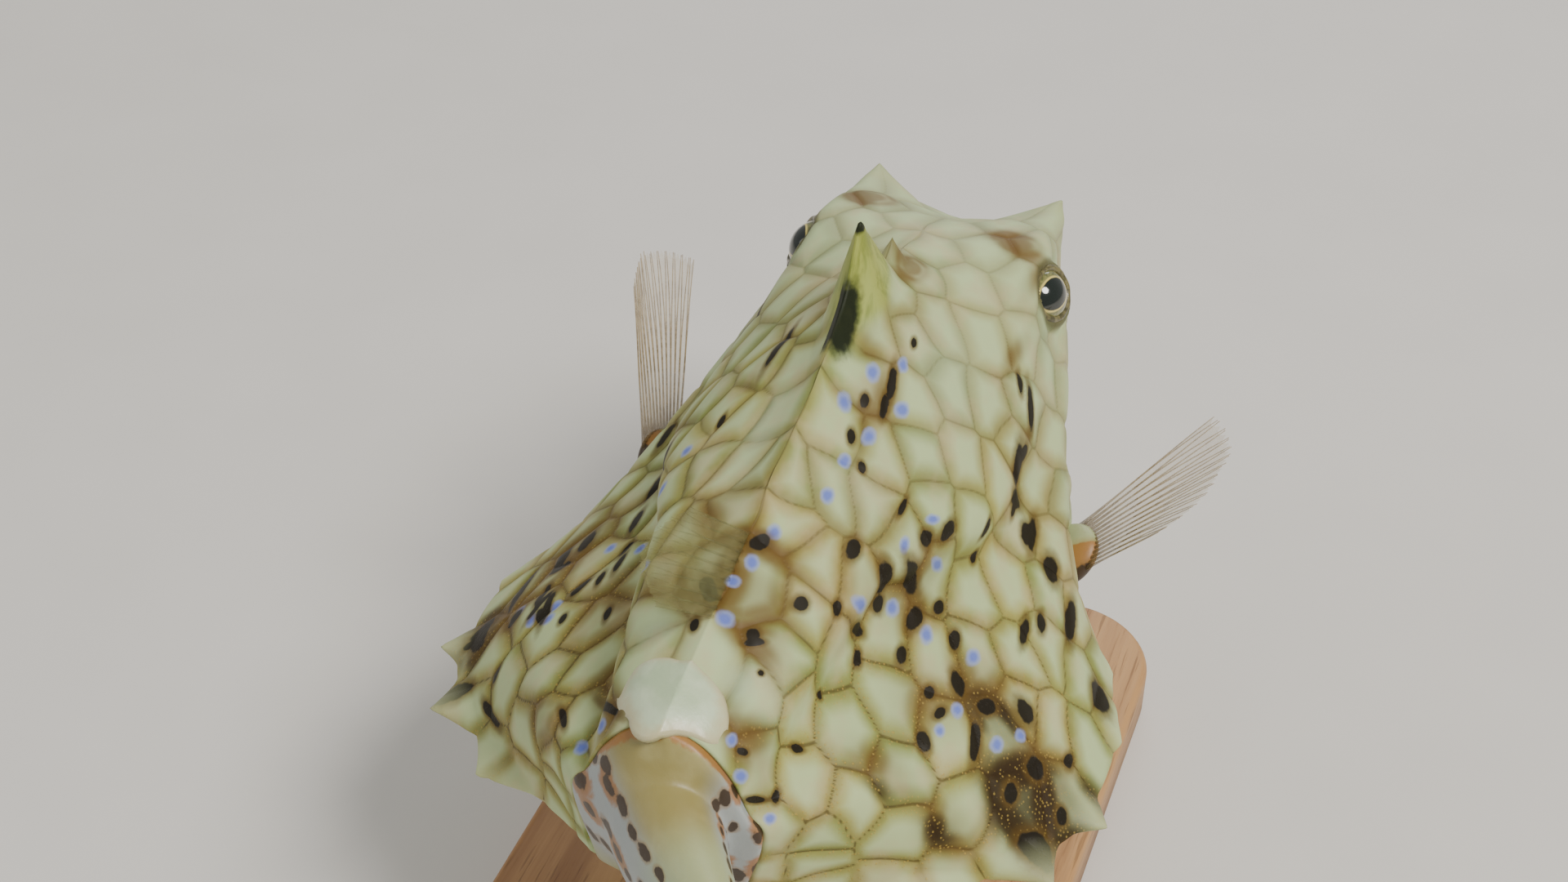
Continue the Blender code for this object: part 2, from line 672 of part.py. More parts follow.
def shield():
    """The smooth white plate with a lobed rim that overhangs the tail's root."""
    mesh = bmesh.new()
    count = 28
    levels = []
    for lift in (SHIELD_HEIGHT, -SHIELD_SINK):
        rings = []
        for ratio in (1.0, 0.6):
            ring = []
            for angle in circle(count):
                rearward = (math.sin(angle) + 1.0) / 2
                lobes = 1.0 + SHIELD_LOBE_DEPTH * math.cos(SHIELD_LOBES * angle) * rearward
                out = ratio * SHIELD_WIDTH * lobes * math.cos(angle)
                station = SHIELD_STATION + ratio * SHIELD_LENGTH * lobes * math.sin(angle)
                ring.append(mesh.verts.new((out, station, roof_height(out, station) + lift)))
            rings.append(ring)
        centre = mesh.verts.new(
            (0.0, SHIELD_STATION, roof_height(0.0, SHIELD_STATION) + lift))
        for index in range(count):
            following = (index + 1) % count
            outer, inner = rings
            mesh.faces.new((outer[index], outer[following], inner[following]))
            mesh.faces.new((outer[index], inner[following], inner[index]))
            mesh.faces.new((inner[index], inner[following], centre))
        levels.append(rings[0])
    top, bottom = levels
    for index in range(count):
        following = (index + 1) % count
        mesh.faces.new((top[index], bottom[index], bottom[following]))
        mesh.faces.new((top[index], bottom[following], top[following]))
    bmesh.ops.recalc_face_normals(mesh, faces=mesh.faces)
    return mesh


def roof_height(out, station):
    """The height of the back at a distance from its crest, carried on past the shell's end."""
    inside = min(station, SHELL_REAR - 0.002)
    flank, _ = section(inside)
    reach = min(abs(out), shoulder_out(inside))
    for (near, upper), (far, lower) in zip(flank, flank[1:]):
        if far >= reach:
            break
    up = upper + (lower - upper) * (reach - near) / (far - near)
    return up - SHIELD_SIDE_SLOPE * (abs(out) - reach) - SHIELD_DROOP * (station - inside)


def gill_cutter(side):
    """The short upright slit in front of the pectoral fin."""
    turn = turn_to(GILL_HEADING, Vector((1.0, 0.0, 0.0)))
    return ellipsoid(mirrored(GILL_SLIT, side), GILL_RADII, segments=8, rings=8, turn=turn)


def nostril_cutter(side):
    return ellipsoid(mirrored(NOSTRIL, side), NOSTRIL_RADII, segments=8, rings=6)


def mouth_height():
    return (crest_up(SHELL_FRONT) + belly_up(SHELL_FRONT)) / 2


def mouth_solid():
    """A short fleshy snout that narrows towards the lips."""
    rings = []
    for along, scale in SNOUT_PROFILE:
        station = SHELL_FRONT - GAP - MOUTH_REACH * along
        up = mouth_height() - MOUTH_DROP * along
        radius = MOUTH_RADIUS * scale
        rings.append([
            Vector((SNOUT_WIDTH * radius * math.cos(angle), station,
                    up + SNOUT_HEIGHT * radius * math.sin(angle)))
            for angle in circle(14)
        ])
    return loft(rings)


def lip(direction):
    """One lip, a curved roll across the front of the snout, thickest in the middle."""
    rings = []
    for step in range(9):
        turn = math.pi * (step / 8 - 0.5)
        bulge = math.cos(turn)
        centre = Vector((
            LIP_HALF_WIDTH * math.sin(turn),
            SHELL_FRONT - MOUTH_REACH - LIP_FORWARD * bulge,
            mouth_height() - MOUTH_DROP + direction * (LIP_PARTING + LIP_ARCH * bulge),
        ))
        radius = LIP_CORNER_RADIUS + LIP_SWELL * bulge
        rings.append([
            centre + Vector((0.0, radius * math.cos(angle), radius * math.sin(angle)))
            for angle in circle(8)
        ])
    return loft(rings)


def tail_solid():
    """The fleshy tail, which bends to the fish's right and narrows to the caudal fin."""
    rings = []
    stations = 8
    heading_end = tail_direction()
    for index in range(stations + 1):
        t = index / stations
        centre = ((1 - t) ** 2 * TAIL_ROOT + 2 * t * (1 - t) * TAIL_MIDDLE + t * t * TAIL_END)
        heading = (1 - t) * (TAIL_MIDDLE - TAIL_ROOT) + t * (TAIL_END - TAIL_MIDDLE)
        if index == 0:
            heading = Vector((0.0, 1.0, 0.0))
        if index == stations:
            heading = heading_end
        heading.z = 0.0
        sideways = heading.normalized().cross(Vector((0.0, 0.0, 1.0)))
        ease = t ** TAIL_TAPER
        wide = TAIL_ROOT_RADII[0] + (TAIL_END_RADII[0] - TAIL_ROOT_RADII[0]) * ease
        tall = TAIL_ROOT_RADII[1] + (TAIL_END_RADII[1] - TAIL_ROOT_RADII[1]) * ease
        rings.append([
            centre + wide * math.cos(angle) * sideways + Vector((0.0, 0.0, tall * math.sin(angle)))
            for angle in circle(18)
        ])
    return loft(rings)


def rounded_box(length, width, height, corner, edge):
    mesh = bmesh.new()
    outline = []
    for sx, sy, start in ((1, 1, 0), (-1, 1, 90), (-1, -1, 180), (1, -1, 270)):
        for step in range(7):
            angle = math.radians(start + 15 * step)
            outline.append((sx * (width / 2 - corner) + corner * math.cos(angle),
                            sy * (length / 2 - corner) + corner * math.sin(angle)))
    face = mesh.faces.new([mesh.verts.new((x, y, 0.0)) for x, y in outline])
    top = bmesh.ops.extrude_face_region(mesh, geom=[face])
    raised = [item for item in top["geom"] if isinstance(item, bmesh.types.BMVert)]
    bmesh.ops.translate(mesh, verts=raised, vec=(0.0, 0.0, height))
    rim = [e for e in mesh.edges if all(abs(v.co.z - height) < 1e-6 for v in e.verts)]
    bmesh.ops.bevel(mesh, geom=rim, offset=edge, segments=2, profile=0.5, affect="EDGES")
    bmesh.ops.recalc_face_normals(mesh, faces=mesh.faces)
    return mesh


def cylinder(base, radius, height, sides=20):
    rings = [
        [base + Vector((radius * math.cos(angle), radius * math.sin(angle), level))
         for angle in circle(sides)]
        for level in (0.0, height)
    ]
    return loft(rings)


def pad_flat(station):
    """Height of the flat that a rod's pad meets under the belly."""
    return belly_up(station) + ROD_FLAT_DEPTH


def make_shell(materials):
    """Head and torso, parted by a thin upright cut."""
    head = new_object("head", plated_shell(), materials["skin"])
    torso = new_object("torso", plated_shell(), materials["skin"])
    for piece, direction in ((head, 1), (torso, -1)):
        mesh = bmesh.new()
        mesh.from_mesh(piece.data)
        cut_open(mesh, Vector((0.0, HEAD_END - direction * GAP / 2, 0.0)),
                 Vector((0.0, direction, 0.0)))
        mesh.to_mesh(piece.data)
        mesh.free()

    joined = []
    for side in (1, -1):
        joined.append(new_object("orbit", orbit(side)))
        stump = brow(side)
        point, axis = brow_cut(side)
        cut_open(stump, point - GAP * axis, axis)
        joined.append(new_object("brow_stump", stump))
    combine(head, joined, "UNION")
    cutters = []
    for side in (1, -1):
        centre = mirrored((EYE_OUT, EYE_STATION, EYE_UP), side)
        radius = EYE_RADIUS + GAP
        cutters.append(new_object("socket", ellipsoid(centre, (radius, radius, radius), 20, 12)))
        cutters.append(new_object("nostril", nostril_cutter(side)))
    combine(head, cutters, "DIFFERENCE")

    joined = [new_object("shield", shield()),
              new_object("low_spine", thorn(LOW_SPINE_BASE, LOW_SPINE_TIP,
                                            LOW_SPINE_RADIUS, 6))]
    stump = back_spine()
    cut_open(stump, Vector((0.0, 0.0, SPINE_CUT - GAP)), Vector((0.0, 0.0, 1.0)))
    joined.append(new_object("spine_stump", stump))
    joined.append(new_object("dorsal_stump", fin_stump(DORSAL_FIN)))
    for side in (1, -1):
        joined.append(new_object("pectoral_stump", fin_stump(pectoral(side))))
        for spec in RIDGE_SPINES:
            joined.append(new_object("ridge_spine", ridge_spine(spec, side)))
    combine(torso, joined, "UNION")
    cutters = [new_object("gill", gill_cutter(side)) for side in (1, -1)]
    for name, station in ROD_STATIONS.items():
        depth = 0.010
        base = Vector((0.0, station, pad_flat(station) - depth))
        cutters.append(new_object(name + "_flat", cylinder(base, ROD_PAD_RADIUS + 0.001, depth)))
    combine(torso, cutters, "DIFFERENCE")
    return head, torso


def make_spines(materials):
    upper = back_spine()
    cut_open(upper, Vector((0.0, 0.0, SPINE_CUT)), Vector((0.0, 0.0, -1.0)))
    spines = [new_object("dorsal_spine", upper, materials["spine"])]
    for name, side in (("brow_spine_left", 1), ("brow_spine_right", -1)):
        upper = brow(side)
        point, axis = brow_cut(side)
        cut_open(upper, point, -axis)
        spines.append(new_object(name, upper, materials["skin"]))
    return spines


def make_eyes(materials):
    eyes = []
    for name, side in (("eye_left", 1), ("eye_right", -1)):
        centre = mirrored((EYE_OUT, EYE_STATION, EYE_UP), side)
        turn = turn_to(mirrored(EYE_AXIS, side), Vector((0.0, 1.0, 0.0)))
        radii = (EYE_RADIUS, EYE_RADIUS, EYE_RADIUS)
        eyes.append(new_object(name, ellipsoid(centre, radii, 20, 12, turn), materials["eye"]))
    return eyes


def make_mouth(materials):
    mouth = new_object("mouth", mouth_solid(), materials["tail"])
    combine(mouth, [new_object("lip", lip(direction)) for direction in (1, -1)], "UNION")
    return mouth


def make_tail(materials):
    tail = new_object("tail_peduncle", tail_solid(), materials["tail"])
    combine(tail, [new_object("anal_stump", fin_stump(ANAL_FIN))], "UNION")
    return tail


def make_fins(materials):
    fins = {
        "pectoral_fin_left": pectoral(1),
        "pectoral_fin_right": pectoral(-1),
        "dorsal_fin": DORSAL_FIN,
        "anal_fin": ANAL_FIN,
        "caudal_fin": caudal(),
    }
    return [new_object(name, fin_solid(fin), materials["fin"]) for name, fin in fins.items()]


def make_stand(materials):
    base = new_object("stand_base", rounded_box(BASE_LENGTH, BASE_WIDTH, BASE_HEIGHT,
                                                BASE_CORNER, BASE_EDGE), materials["oak"])
    holes = []
    for name, station in ROD_STATIONS.items():
        y = station - FISH_STATION_OVER_BASE
        foot = BASE_HEIGHT - ROD_SINK
        head = FISH_LIFT + pad_flat(station) - GAP
        rod = new_object(name, cylinder(Vector((0.0, y, foot)), ROD_RADIUS, head - foot - 0.0005),
                         materials["steel"])
        pad = new_object("pad", cylinder(Vector((0.0, y, head - ROD_PAD_HEIGHT)), ROD_PAD_RADIUS,
                                         ROD_PAD_HEIGHT))
        combine(rod, [pad], "UNION")
        holes.append(new_object("hole", cylinder(Vector((0.0, y, foot - GAP)), ROD_RADIUS + GAP,
                                                 ROD_SINK * 2)))
    combine(base, holes, "DIFFERENCE")


def main():
    for old in list(bpy.data.objects):
        bpy.data.objects.remove(old)
    materials = {
        "skin": new_material("skin", SKIN_PALE, 0.45),
        "spine": new_material("spine", SPINE_GREEN, 0.45),
        "tail": new_material("tail", SKIN_TAN, 0.45),
        "fin": new_material("fin", FIN_AMBER, 0.50),
        "eye": new_material("eye", EYE_DARK, 0.05),
        "oak": new_material("oak", OAK, 0.50),
        "steel": new_material("steel", STEEL, 0.30, 1.0),
    }
    fish = bpy.data.objects.new("fish", None)
    bpy.context.scene.collection.objects.link(fish)
    fish.location = (0.0, -FISH_STATION_OVER_BASE, FISH_LIFT)
    pieces = [*make_shell(materials), *make_spines(materials), *make_eyes(materials),
              make_mouth(materials), make_tail(materials), *make_fins(materials)]
    for piece in pieces:
        piece.parent = fish
    make_stand(materials)


main()
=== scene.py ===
"""The humpback turretfish as seen from behind and above, on its display stand.

The fish is shaped in a frame of its own, the same as in the part's source: y is the station along
the body, 0 near the snout, x points to its left and z is 0 near the belly. Measures are in metres
unless a comment says mm.
"""

import math
from collections import namedtuple

import bpy
import numpy as np
from mathutils import Matrix, Vector


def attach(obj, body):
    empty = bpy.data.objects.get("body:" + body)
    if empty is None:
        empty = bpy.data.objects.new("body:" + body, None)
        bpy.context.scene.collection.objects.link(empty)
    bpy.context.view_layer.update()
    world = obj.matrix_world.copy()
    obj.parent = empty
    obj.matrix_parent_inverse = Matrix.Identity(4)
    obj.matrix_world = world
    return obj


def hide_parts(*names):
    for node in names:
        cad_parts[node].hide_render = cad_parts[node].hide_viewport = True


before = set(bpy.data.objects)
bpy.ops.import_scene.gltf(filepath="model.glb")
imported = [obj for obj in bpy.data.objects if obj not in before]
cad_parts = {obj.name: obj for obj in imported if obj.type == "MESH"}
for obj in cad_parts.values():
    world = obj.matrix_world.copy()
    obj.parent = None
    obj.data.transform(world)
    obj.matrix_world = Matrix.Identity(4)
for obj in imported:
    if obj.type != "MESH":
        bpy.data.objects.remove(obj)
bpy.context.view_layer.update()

SEED = 7
MM = 0.001
FISH_OFFSET = np.array((0.0, -0.084, 0.046))
GAP = 0.0003

# Shell, with the same sizes as in the part
SHELL_FRONT = -0.006
SHELL_REAR = 0.154
FLANK_ROWS = 8
BELLY_ROWS = 4
HALF_ROWS = FLANK_ROWS + BELLY_ROWS
PLATE_MIDDLE = 0.0850              # the station where lengths along the body begin
PLATE_LENGTH = 11.0                # between plates along the body, in mm
PLATE_ROW_START = 0.45             # the first line of plates beside the crest, in rows
PLATE_ROW_STEP = 0.92              # from one line of plates to the next, in rows
PLATE_STRAY = 1.2                  # how far a plate may lie off its place in a line, in mm
PLATES_IN_LINE = 40                # more than a line has room for
PLATE_ROOM = 6.6                   # least distance between two plates' middles, in mm
PLATE_WIDTH = 9.2                  # a usual plate's width, in mm
PLATE_WAVE = 0.22                  # how far a border swings to and fro, in mm
SNOUT_ROOM = 0.35                  # the room at the snout, as a share of the usual one
CROWDED_LENGTH = 0.045             # of the shell's front, where the room grows

# Relief of a plate, with widths in plates
CROWN = 0.00034
CROWN_WIDTH = 0.46
GROOVE = 0.00016
GROOVE_WIDTH = 0.07

# Resolution of the skin
SKIN_STATIONS = 400
SKIN_ROWS = 560

EYE = np.array((0.0189, 0.0380, 0.0450))
EYE_RADIUS = 0.0054
EYE_AXIS = np.array((0.84, 0.18, 0.51))
EYE_AXIS /= np.linalg.norm(EYE_AXIS)
GAZE = np.array((0.74, 0.38, 0.55))
PUPIL_HALF = (0.0032, 0.0025)
ORBIT_PLANE = 0.0035
LID_OUT = 0.0044                   # from the eye's axis to the middle of the lid's roll
LID_HALF = (0.00058, 0.00055)      # the roll's half width and half height
BROW_BASE = np.array((0.0130, 0.0225, 0.0440))
BROW_TIP = np.array((0.0168, 0.0130, 0.0490))
BROW_FOOT = (0.0100, 0.0074)       # half sizes of a horn's foot, towards the eye and across
BROW_POWER = 2.2
NOSTRIL = np.array((0.0158, 0.0170, 0.0395))
NOSTRIL_RADIUS = 0.0009
# The gill slit's middle as station and height, its lean, and the flap behind it
SLIT_STATION = 0.0585
SLIT_UP = 0.0235
SLIT_LEAN = 0.25
SLIT_HALF = 0.0007
FLAP_BEHIND = 0.0028
FLAP_HALF = 0.0018
# The skin round an eye: mm out from the eye's axis and mm up along it
ORBIT_OUT = (3.7, 4.3, 4.9, 5.6, 6.7, 8.0)
ORBIT_UP = (3.0, 3.6, 3.8, 3.4, 2.1, -0.6)
ORBIT_OPENING = 0.0038             # inside it the skin lies behind the eyeball
ORBIT_CREST = 0.0047
ORBIT_FADE = (0.0056, 0.0086)      # where the rim's lift ends
ORBIT_TINT = (0.0046, 0.0078)      # where its colour ends
ORBIT_END = 0.0088
ORBIT_BELOW = 0.006
EYE_TUCK = 0.0007                  # how far the skin inside the rim lies behind the eyeball
CORNEA_SWELL = 0.05                # as a share of the eye's radius
CORNEA_HALF = 0.75                 # in radians
# The hollow of the head's top, between the horns
HOLLOW_DEPTH = 0.0032
HOLLOW_HALF_WIDTH = 0.0095
HOLLOW_STATION = 0.019
HOLLOW_HALF_LENGTH = 0.012
HOLLOW_ABOVE = 0.03
# The sharp back behind the spine: the stations where it rises and where it falls
KEEL_HEIGHT = 0.0022
KEEL_HALF = 0.0075
KEEL_RISE = (0.080, 0.090)
KEEL_FALL = (0.112, 0.126)
# Where the plates end in front of the spine and begin again behind it
BARE_RISE = (0.062, 0.066)
BARE_FALL = (0.086, 0.094)
BACK_ROWS = 3
# How the shell's plates fade in at its front and out at its rear
FRONT_FADE = (SHELL_FRONT, 0.020)
REAR_FADE = (0.150, SHELL_REAR)
NOSTRIL_DEPTH = 0.0009
SLIT_DEPTH = 0.0012
FLAP_HEIGHT = 0.0008
# How the shell's open edges turn inwards, as a share of their size, and back
FRONT_FOLD = (0.45, 0.004)
REAR_FOLD = (0.30, -0.006)

# A thorn of the lower ridges: its station, length, radius and lean backward
RidgeSpine = namedtuple("RidgeSpine", "station length radius backward")
RIDGE_SPINES = (
    RidgeSpine(0.0840, 0.0008, 0.0030, 0.9),
    RidgeSpine(0.0985, 0.0008, 0.0034, 0.8),
    RidgeSpine(0.1150, 0.0032, 0.0040, 0.9),
    RidgeSpine(0.1275, 0.0040, 0.0044, 1.1),
    RidgeSpine(0.1375, 0.0032, 0.0036, 1.6),
)
THORN_STRETCH = 1.2                # a thorn's foot is this much longer than wide
THORN_POWER = 1.35                 # above 1 its sides are hollow
THORN_SWEEP = 0.6

# A place on the shell is a row, from the crest at 0 to the lower ridge at 8 and negative on the
# fish's right, and a station in mm. Dark spots: place, half width and half length in mm, and how
# far the long axis turns from the body's length towards the lower ridge, in degrees
DARK_SPOTS = (
    (-1.60, 115.2, 1.2, 2.1, 4), (-2.38, 113.9, 1.6, 2.5, 59), (-2.78, 115.2, 1.2, 2.0, -71),
    (-2.98, 108.1, 1.4, 4.3, -77), (-2.70, 103.3, 1.3, 1.8, -26), (-3.04, 98.5, 1.1, 2.6, -17),
    (-1.86, 124.8, 0.9, 1.2, 22), (-1.28, 128.3, 1.1, 1.3, -18), (-0.22, 123.2, 1.2, 1.8, -36),
    (0.30, 132.5, 1.3, 2.8, -39), (-3.66, 110.1, 1.3, 2.7, -2), (-3.96, 105.3, 1.0, 1.4, -10),
    (-3.74, 117.4, 1.0, 1.7, 17), (-4.44, 108.5, 1.0, 2.0, 10), (-4.78, 115.2, 1.4, 2.3, 36),
    (-4.46, 120.0, 0.9, 1.3, 16), (-1.18, 85.1, 0.8, 3.2, 9), (-1.18, 89.6, 0.8, 2.3, 7),
    (-0.82, 91.2, 0.8, 1.2, 3), (-0.82, 98.2, 0.8, 1.4, 11), (-1.18, 101.7, 0.7, 1.1, 34),
    (-2.08, 102.4, 0.5, 2.3, -3), (-2.76, 120.7, 1.0, 2.1, -59),
    (-3.14, 123.2, 0.8, 1.5, 31), (-5.38, 115.5, 1.5, 2.1, -24),
    (-6.06, 110.4, 1.9, 2.2, 65), (-4.90, 128.0, 1.0, 2.1, 45), (-5.56, 121.9, 1.0, 3.7, 32),
    (-6.70, 117.1, 1.7, 2.1, 50), (-6.66, 123.5, 1.2, 1.8, 47), (-7.68, 125.8, 2.3, 2.6, -84),
    (-7.62, 119.4, 1.0, 1.7, 55), (-0.84, 136.4, 1.0, 1.1, -2), (-0.94, 137.3, 0.6, 1.5, -54),
    (0.30, 138.3, 0.8, 1.3, -19),
    (-2.30, 150.5, 0.6, 0.9, -63), (-3.42, 141.5, 0.8, 1.0, -69), (-3.82, 152.1, 0.6, 2.0, -35),
    (-4.10, 149.2, 0.5, 1.4, 41), (-2.96, 132.8, 0.5, 0.8, 56), (-1.38, 140.5, 0.5, 0.5, 29),
    (2.74, 147.3, 0.8, 6.5, -47), (-4.04, 62.3, 0.9, 4.3, 36), (-3.54, 61.0, 0.7, 2.2, 37),
    (-4.34, 73.8, 1.5, 4.0, 21), (-4.68, 77.4, 1.6, 2.7, -60), (-5.38, 78.6, 1.1, 3.4, 2),
    (-1.32, 75.1, 0.6, 1.2, 3),
)
# Lavender spots, in the same numbers
BLUE_SPOTS = (
    (-0.78, 86.3, 1.3, 1.8, -7), (-0.52, 94.0, 1.3, 1.8, -8), (-1.28, 80.6, 1.0, 1.8, -6),
    (-1.50, 87.9, 1.2, 1.8, -29), (-1.10, 96.0, 1.2, 1.8, -4), (-0.88, 102.7, 1.1, 1.5, -9),
    (-0.86, 110.1, 1.1, 1.6, 1), (-0.36, 120.7, 1.1, 1.3, -7), (-0.24, 126.7, 1.1, 1.4, 12),
    (-0.08, 130.6, 1.0, 1.3, -70), (-0.24, 136.4, 1.4, 1.5, -76), (-2.22, 120.7, 1.2, 2.4, -56),
    (-3.16, 112.6, 1.4, 1.8, -58), (-2.36, 107.8, 1.0, 1.6, -1), (-3.32, 102.4, 0.9, 3.0, -61),
    (-2.66, 99.8, 0.8, 1.8, -39), (-3.96, 111.4, 1.2, 1.9, 6), (-4.84, 109.1, 1.2, 1.9, -7),
    (-5.00, 119.7, 1.0, 1.6, 19), (-5.88, 119.7, 1.2, 1.5, 10), (-6.16, 114.9, 1.1, 1.5, -20),
    (-4.98, 124.8, 0.9, 1.3, 23), (-1.86, 150.5, 1.0, 1.1, 10), (-2.84, 152.7, 1.1, 1.3, -59),
    (-4.58, 152.4, 0.8, 1.1, 48),
)
# Dark streaks along the left flank, partly dark markings and partly painted shade along its folds:
# place, half width and half length in mm
DARK_STREAKS_AND_FOLD_SHADE = (
    (1.50, 81.2, 0.9, 5.2), (1.92, 95.3, 0.6, 1.6), (6.00, 103.7, 1.8, 3.6),
    (5.50, 101.7, 1.5, 3.0), (6.78, 108.1, 1.4, 6.0), (5.40, 119.0, 0.9, 4.5),
    (7.40, 115.5, 2.4, 4.5), (3.48, 94.4, 0.8, 3.8), (4.60, 92.4, 0.9, 3.0),
    (4.42, 100.8, 0.9, 3.0), (4.14, 111.7, 0.7, 2.6), (4.38, 114.9, 0.7, 1.8),
    (3.84, 123.9, 0.7, 1.8), (7.20, 132.4, 1.0, 2.4), (4.68, 144.1, 0.8, 2.0),
    (5.74, 114.6, 1.0, 3.0),
)
# Middles of the plates that can be told apart, used on both sides
PLATES = (
    (-1.60, 105.6), (-1.24, 121.0), (-0.88, 108.8), (-0.54, 117.8), (-0.30, 111.4), (-2.14, 92.1),
    (-1.40, 97.9), (-3.02, 84.4), (-3.96, 79.9), (-3.22, 71.0), (-2.66, 96.3), (-3.58, 92.4),
    (-2.38, 107.5), (-3.50, 102.4), (-2.04, 119.4), (-3.30, 115.5), (-4.36, 98.5), (-5.06, 89.9),
    (-4.16, 113.3), (-4.92, 108.1), (-5.66, 102.1), (-6.16, 95.0), (-7.04, 93.7), (-2.54, 127.7),
    (-1.64, 135.7), (-1.64, 144.1), (-2.68, 138.9), (-3.78, 134.1), (-4.10, 125.5),
    (-5.10, 125.1), (-5.98, 117.8), (-6.66, 107.8), (-5.14, 134.1), (-5.36, 143.4),
    (-4.16, 144.4), (-2.98, 148.5), (-1.66, 66.5), (-2.34, 60.4), (-2.36, 76.1), (-1.56, 51.1),
    (-1.68, 84.4), (-0.60, 87.5), (-0.60, 98.5), (-0.55, 129.0), (-6.9, 122.5), (-7.45, 104.5),
    (-7.45, 116.5), (-7.5, 130.0), (-6.5, 131.0), (-6.4, 139.0),
)
# Soft clouds, partly the skin's own brown and partly painted shade on the left flank and below the
# right flank's fold: place, half height and half length in mm, strength
BROWN_AND_SHADE_CLOUDS = (
    (1.66, 31.0, 4.6, 3.6, 1.6), (-1.84, 36.6, 4.8, 3.4, 1.5), (-0.44, 58.6, 2.6, 4.4, 1.6),
    (-2.5, 43.0, 2.2, 5.5, 0.6), (-3.1, 56.0, 2.2, 8.0, 0.6), (-4.3, 70.0, 2.2, 9.0, 0.5),
    (-0.55, 82.5, 4.0, 5.0, 0.45), (-1.04, 89.2, 5.0, 7.0, 0.6), (0.9, 119.0, 6.0, 6.0, 0.6),
    (-0.1, 124.0, 9.0, 3.5, 0.9), (0.0, 131.5, 11.0, 5.5, 0.95), (-0.9, 136.7, 6.0, 3.5, 0.85),
    (1.5, 130.5, 5.0, 3.5, 0.6), (-3.2, 108.0, 9.0, 10.0, 0.6), (-5.2, 114.0, 8.0, 8.0, 0.7),
    (-2.2, 118.0, 6.0, 8.0, 0.5), (-4.6, 122.0, 8.0, 8.0, 0.6), (-1.0, 90.0, 4.0, 8.0, 0.6),
    (-6.8, 119.0, 12.0, 9.0, 0.75), (-4.8, 136.0, 8.0, 4.0, 0.65), (-6.6, 134.0, 7.0, 4.0, 0.75),
    (-2.2, 149.0, 8.0, 4.5, 0.7), (2.4, 150.0, 6.0, 4.5, 0.7), (5.8, 104.0, 12.0, 15.0, 0.75),
    (6.6, 114.0, 10.0, 8.0, 0.8), (4.0, 122.0, 8.0, 13.0, 0.6), (4.2, 90.0, 8.0, 12.0, 0.6),
    (3.4, 139.0, 6.0, 8.0, 0.6), (5.4, 142.0, 6.0, 5.0, 0.7), (1.6, 84.0, 4.0, 9.0, 0.45),
)
# Nearly black brown stains and cream places, in the same numbers
STAINS = (
    (-7.2, 122.0, 12.0, 8.0, 1.1), (-5.6, 116.0, 7.0, 5.0, 0.8), (-7.9, 112.0, 6.0, 5.0, 0.6),
    (7.5, 116.0, 6.0, 9.0, 0.85), (-5.2, 139.0, 5.0, 2.6, 0.6), (-6.6, 135.0, 5.0, 3.0, 0.7),
)
PALE_PLACES = (
    (-1.3, 143.5, 6.0, 4.0, 1.0), (1.2, 138.5, 5.0, 3.5, 0.9), (-0.2, 141.5, 5.0, 3.0, 0.9),
    (0.7, 102.0, 3.6, 14.0, 0.75), (-2.1, 70.0, 11.0, 22.0, 0.6), (-0.5, 40.0, 16.0, 10.0, 0.4),
    (-1.2, 106.0, 7.0, 8.0, 0.35),
)


def curve(*points):
    """A monotone cubic through (station, value) points, for arrays of stations."""
    x, y = np.array(points, float).T
    step = np.diff(x)
    slope = np.diff(y) / step
    tangent = np.zeros(len(x))
    tangent[0], tangent[-1] = slope[0], slope[-1]
    for i in range(1, len(x) - 1):
        if slope[i - 1] * slope[i] > 0.0:
            left, right = 2 * step[i] + step[i - 1], step[i] + 2 * step[i - 1]
            tangent[i] = (left + right) / (left / slope[i - 1] + right / slope[i])

    def value_at(station):
        s = np.clip(station, x[0], x[-1])
        i = np.clip(np.searchsorted(x, s, side="right") - 1, 0, len(step) - 1)
        t = (s - x[i]) / step[i]
        return (y[i] * (1 + 2 * t) * (1 - t) ** 2 + tangent[i] * step[i] * t * (1 - t) ** 2
                + y[i + 1] * t * t * (3 - 2 * t) + tangent[i + 1] * step[i] * t * t * (t - 1))

    return value_at


crest_up = curve(
    (-0.006, 0.0210), (0.014, 0.0440), (0.028, 0.0520), (0.050, 0.0585), (0.074, 0.0655),
    (0.097, 0.0595), (0.127, 0.0532), (0.154, 0.0460))
roof_out = curve((-0.006, 0.0060), (0.024, 0.0165), (0.043, 0.0187), (0.085, 0.0150),
                 (0.122, 0.0092), (0.154, 0.0058))
roof_drop = curve((-0.006, 0.0025), (0.024, 0.0000), (0.036, 0.0018), (0.050, 0.0085),
                  (0.072, 0.0155), (0.085, 0.0115), (0.105, 0.0062), (0.122, 0.0036),
                  (0.154, 0.0026))
shoulder_out = curve((-0.006, 0.0072), (0.024, 0.0190), (0.043, 0.0225), (0.060, 0.0250),
                     (0.081, 0.0262), (0.100, 0.0222), (0.118, 0.0162), (0.127, 0.0148),
                     (0.154, 0.0098))
shoulder_up = curve((-0.006, 0.0172), (0.024, 0.0440), (0.043, 0.0425), (0.060, 0.0405),
                    (0.081, 0.0385), (0.100, 0.0425), (0.118, 0.0455), (0.135, 0.0435),
                    (0.154, 0.0385))
drop_out = curve((-0.006, 0.0076), (0.024, 0.0202), (0.043, 0.0245), (0.060, 0.0280),
                 (0.081, 0.0285), (0.100, 0.0238), (0.118, 0.0178), (0.127, 0.0164),
                 (0.154, 0.0122))
drop_up = curve((-0.006, 0.0163), (0.024, 0.0400), (0.043, 0.0380), (0.060, 0.0345),
                (0.081, 0.0310), (0.100, 0.0340), (0.118, 0.0365), (0.135, 0.0355),
                (0.154, 0.0330))
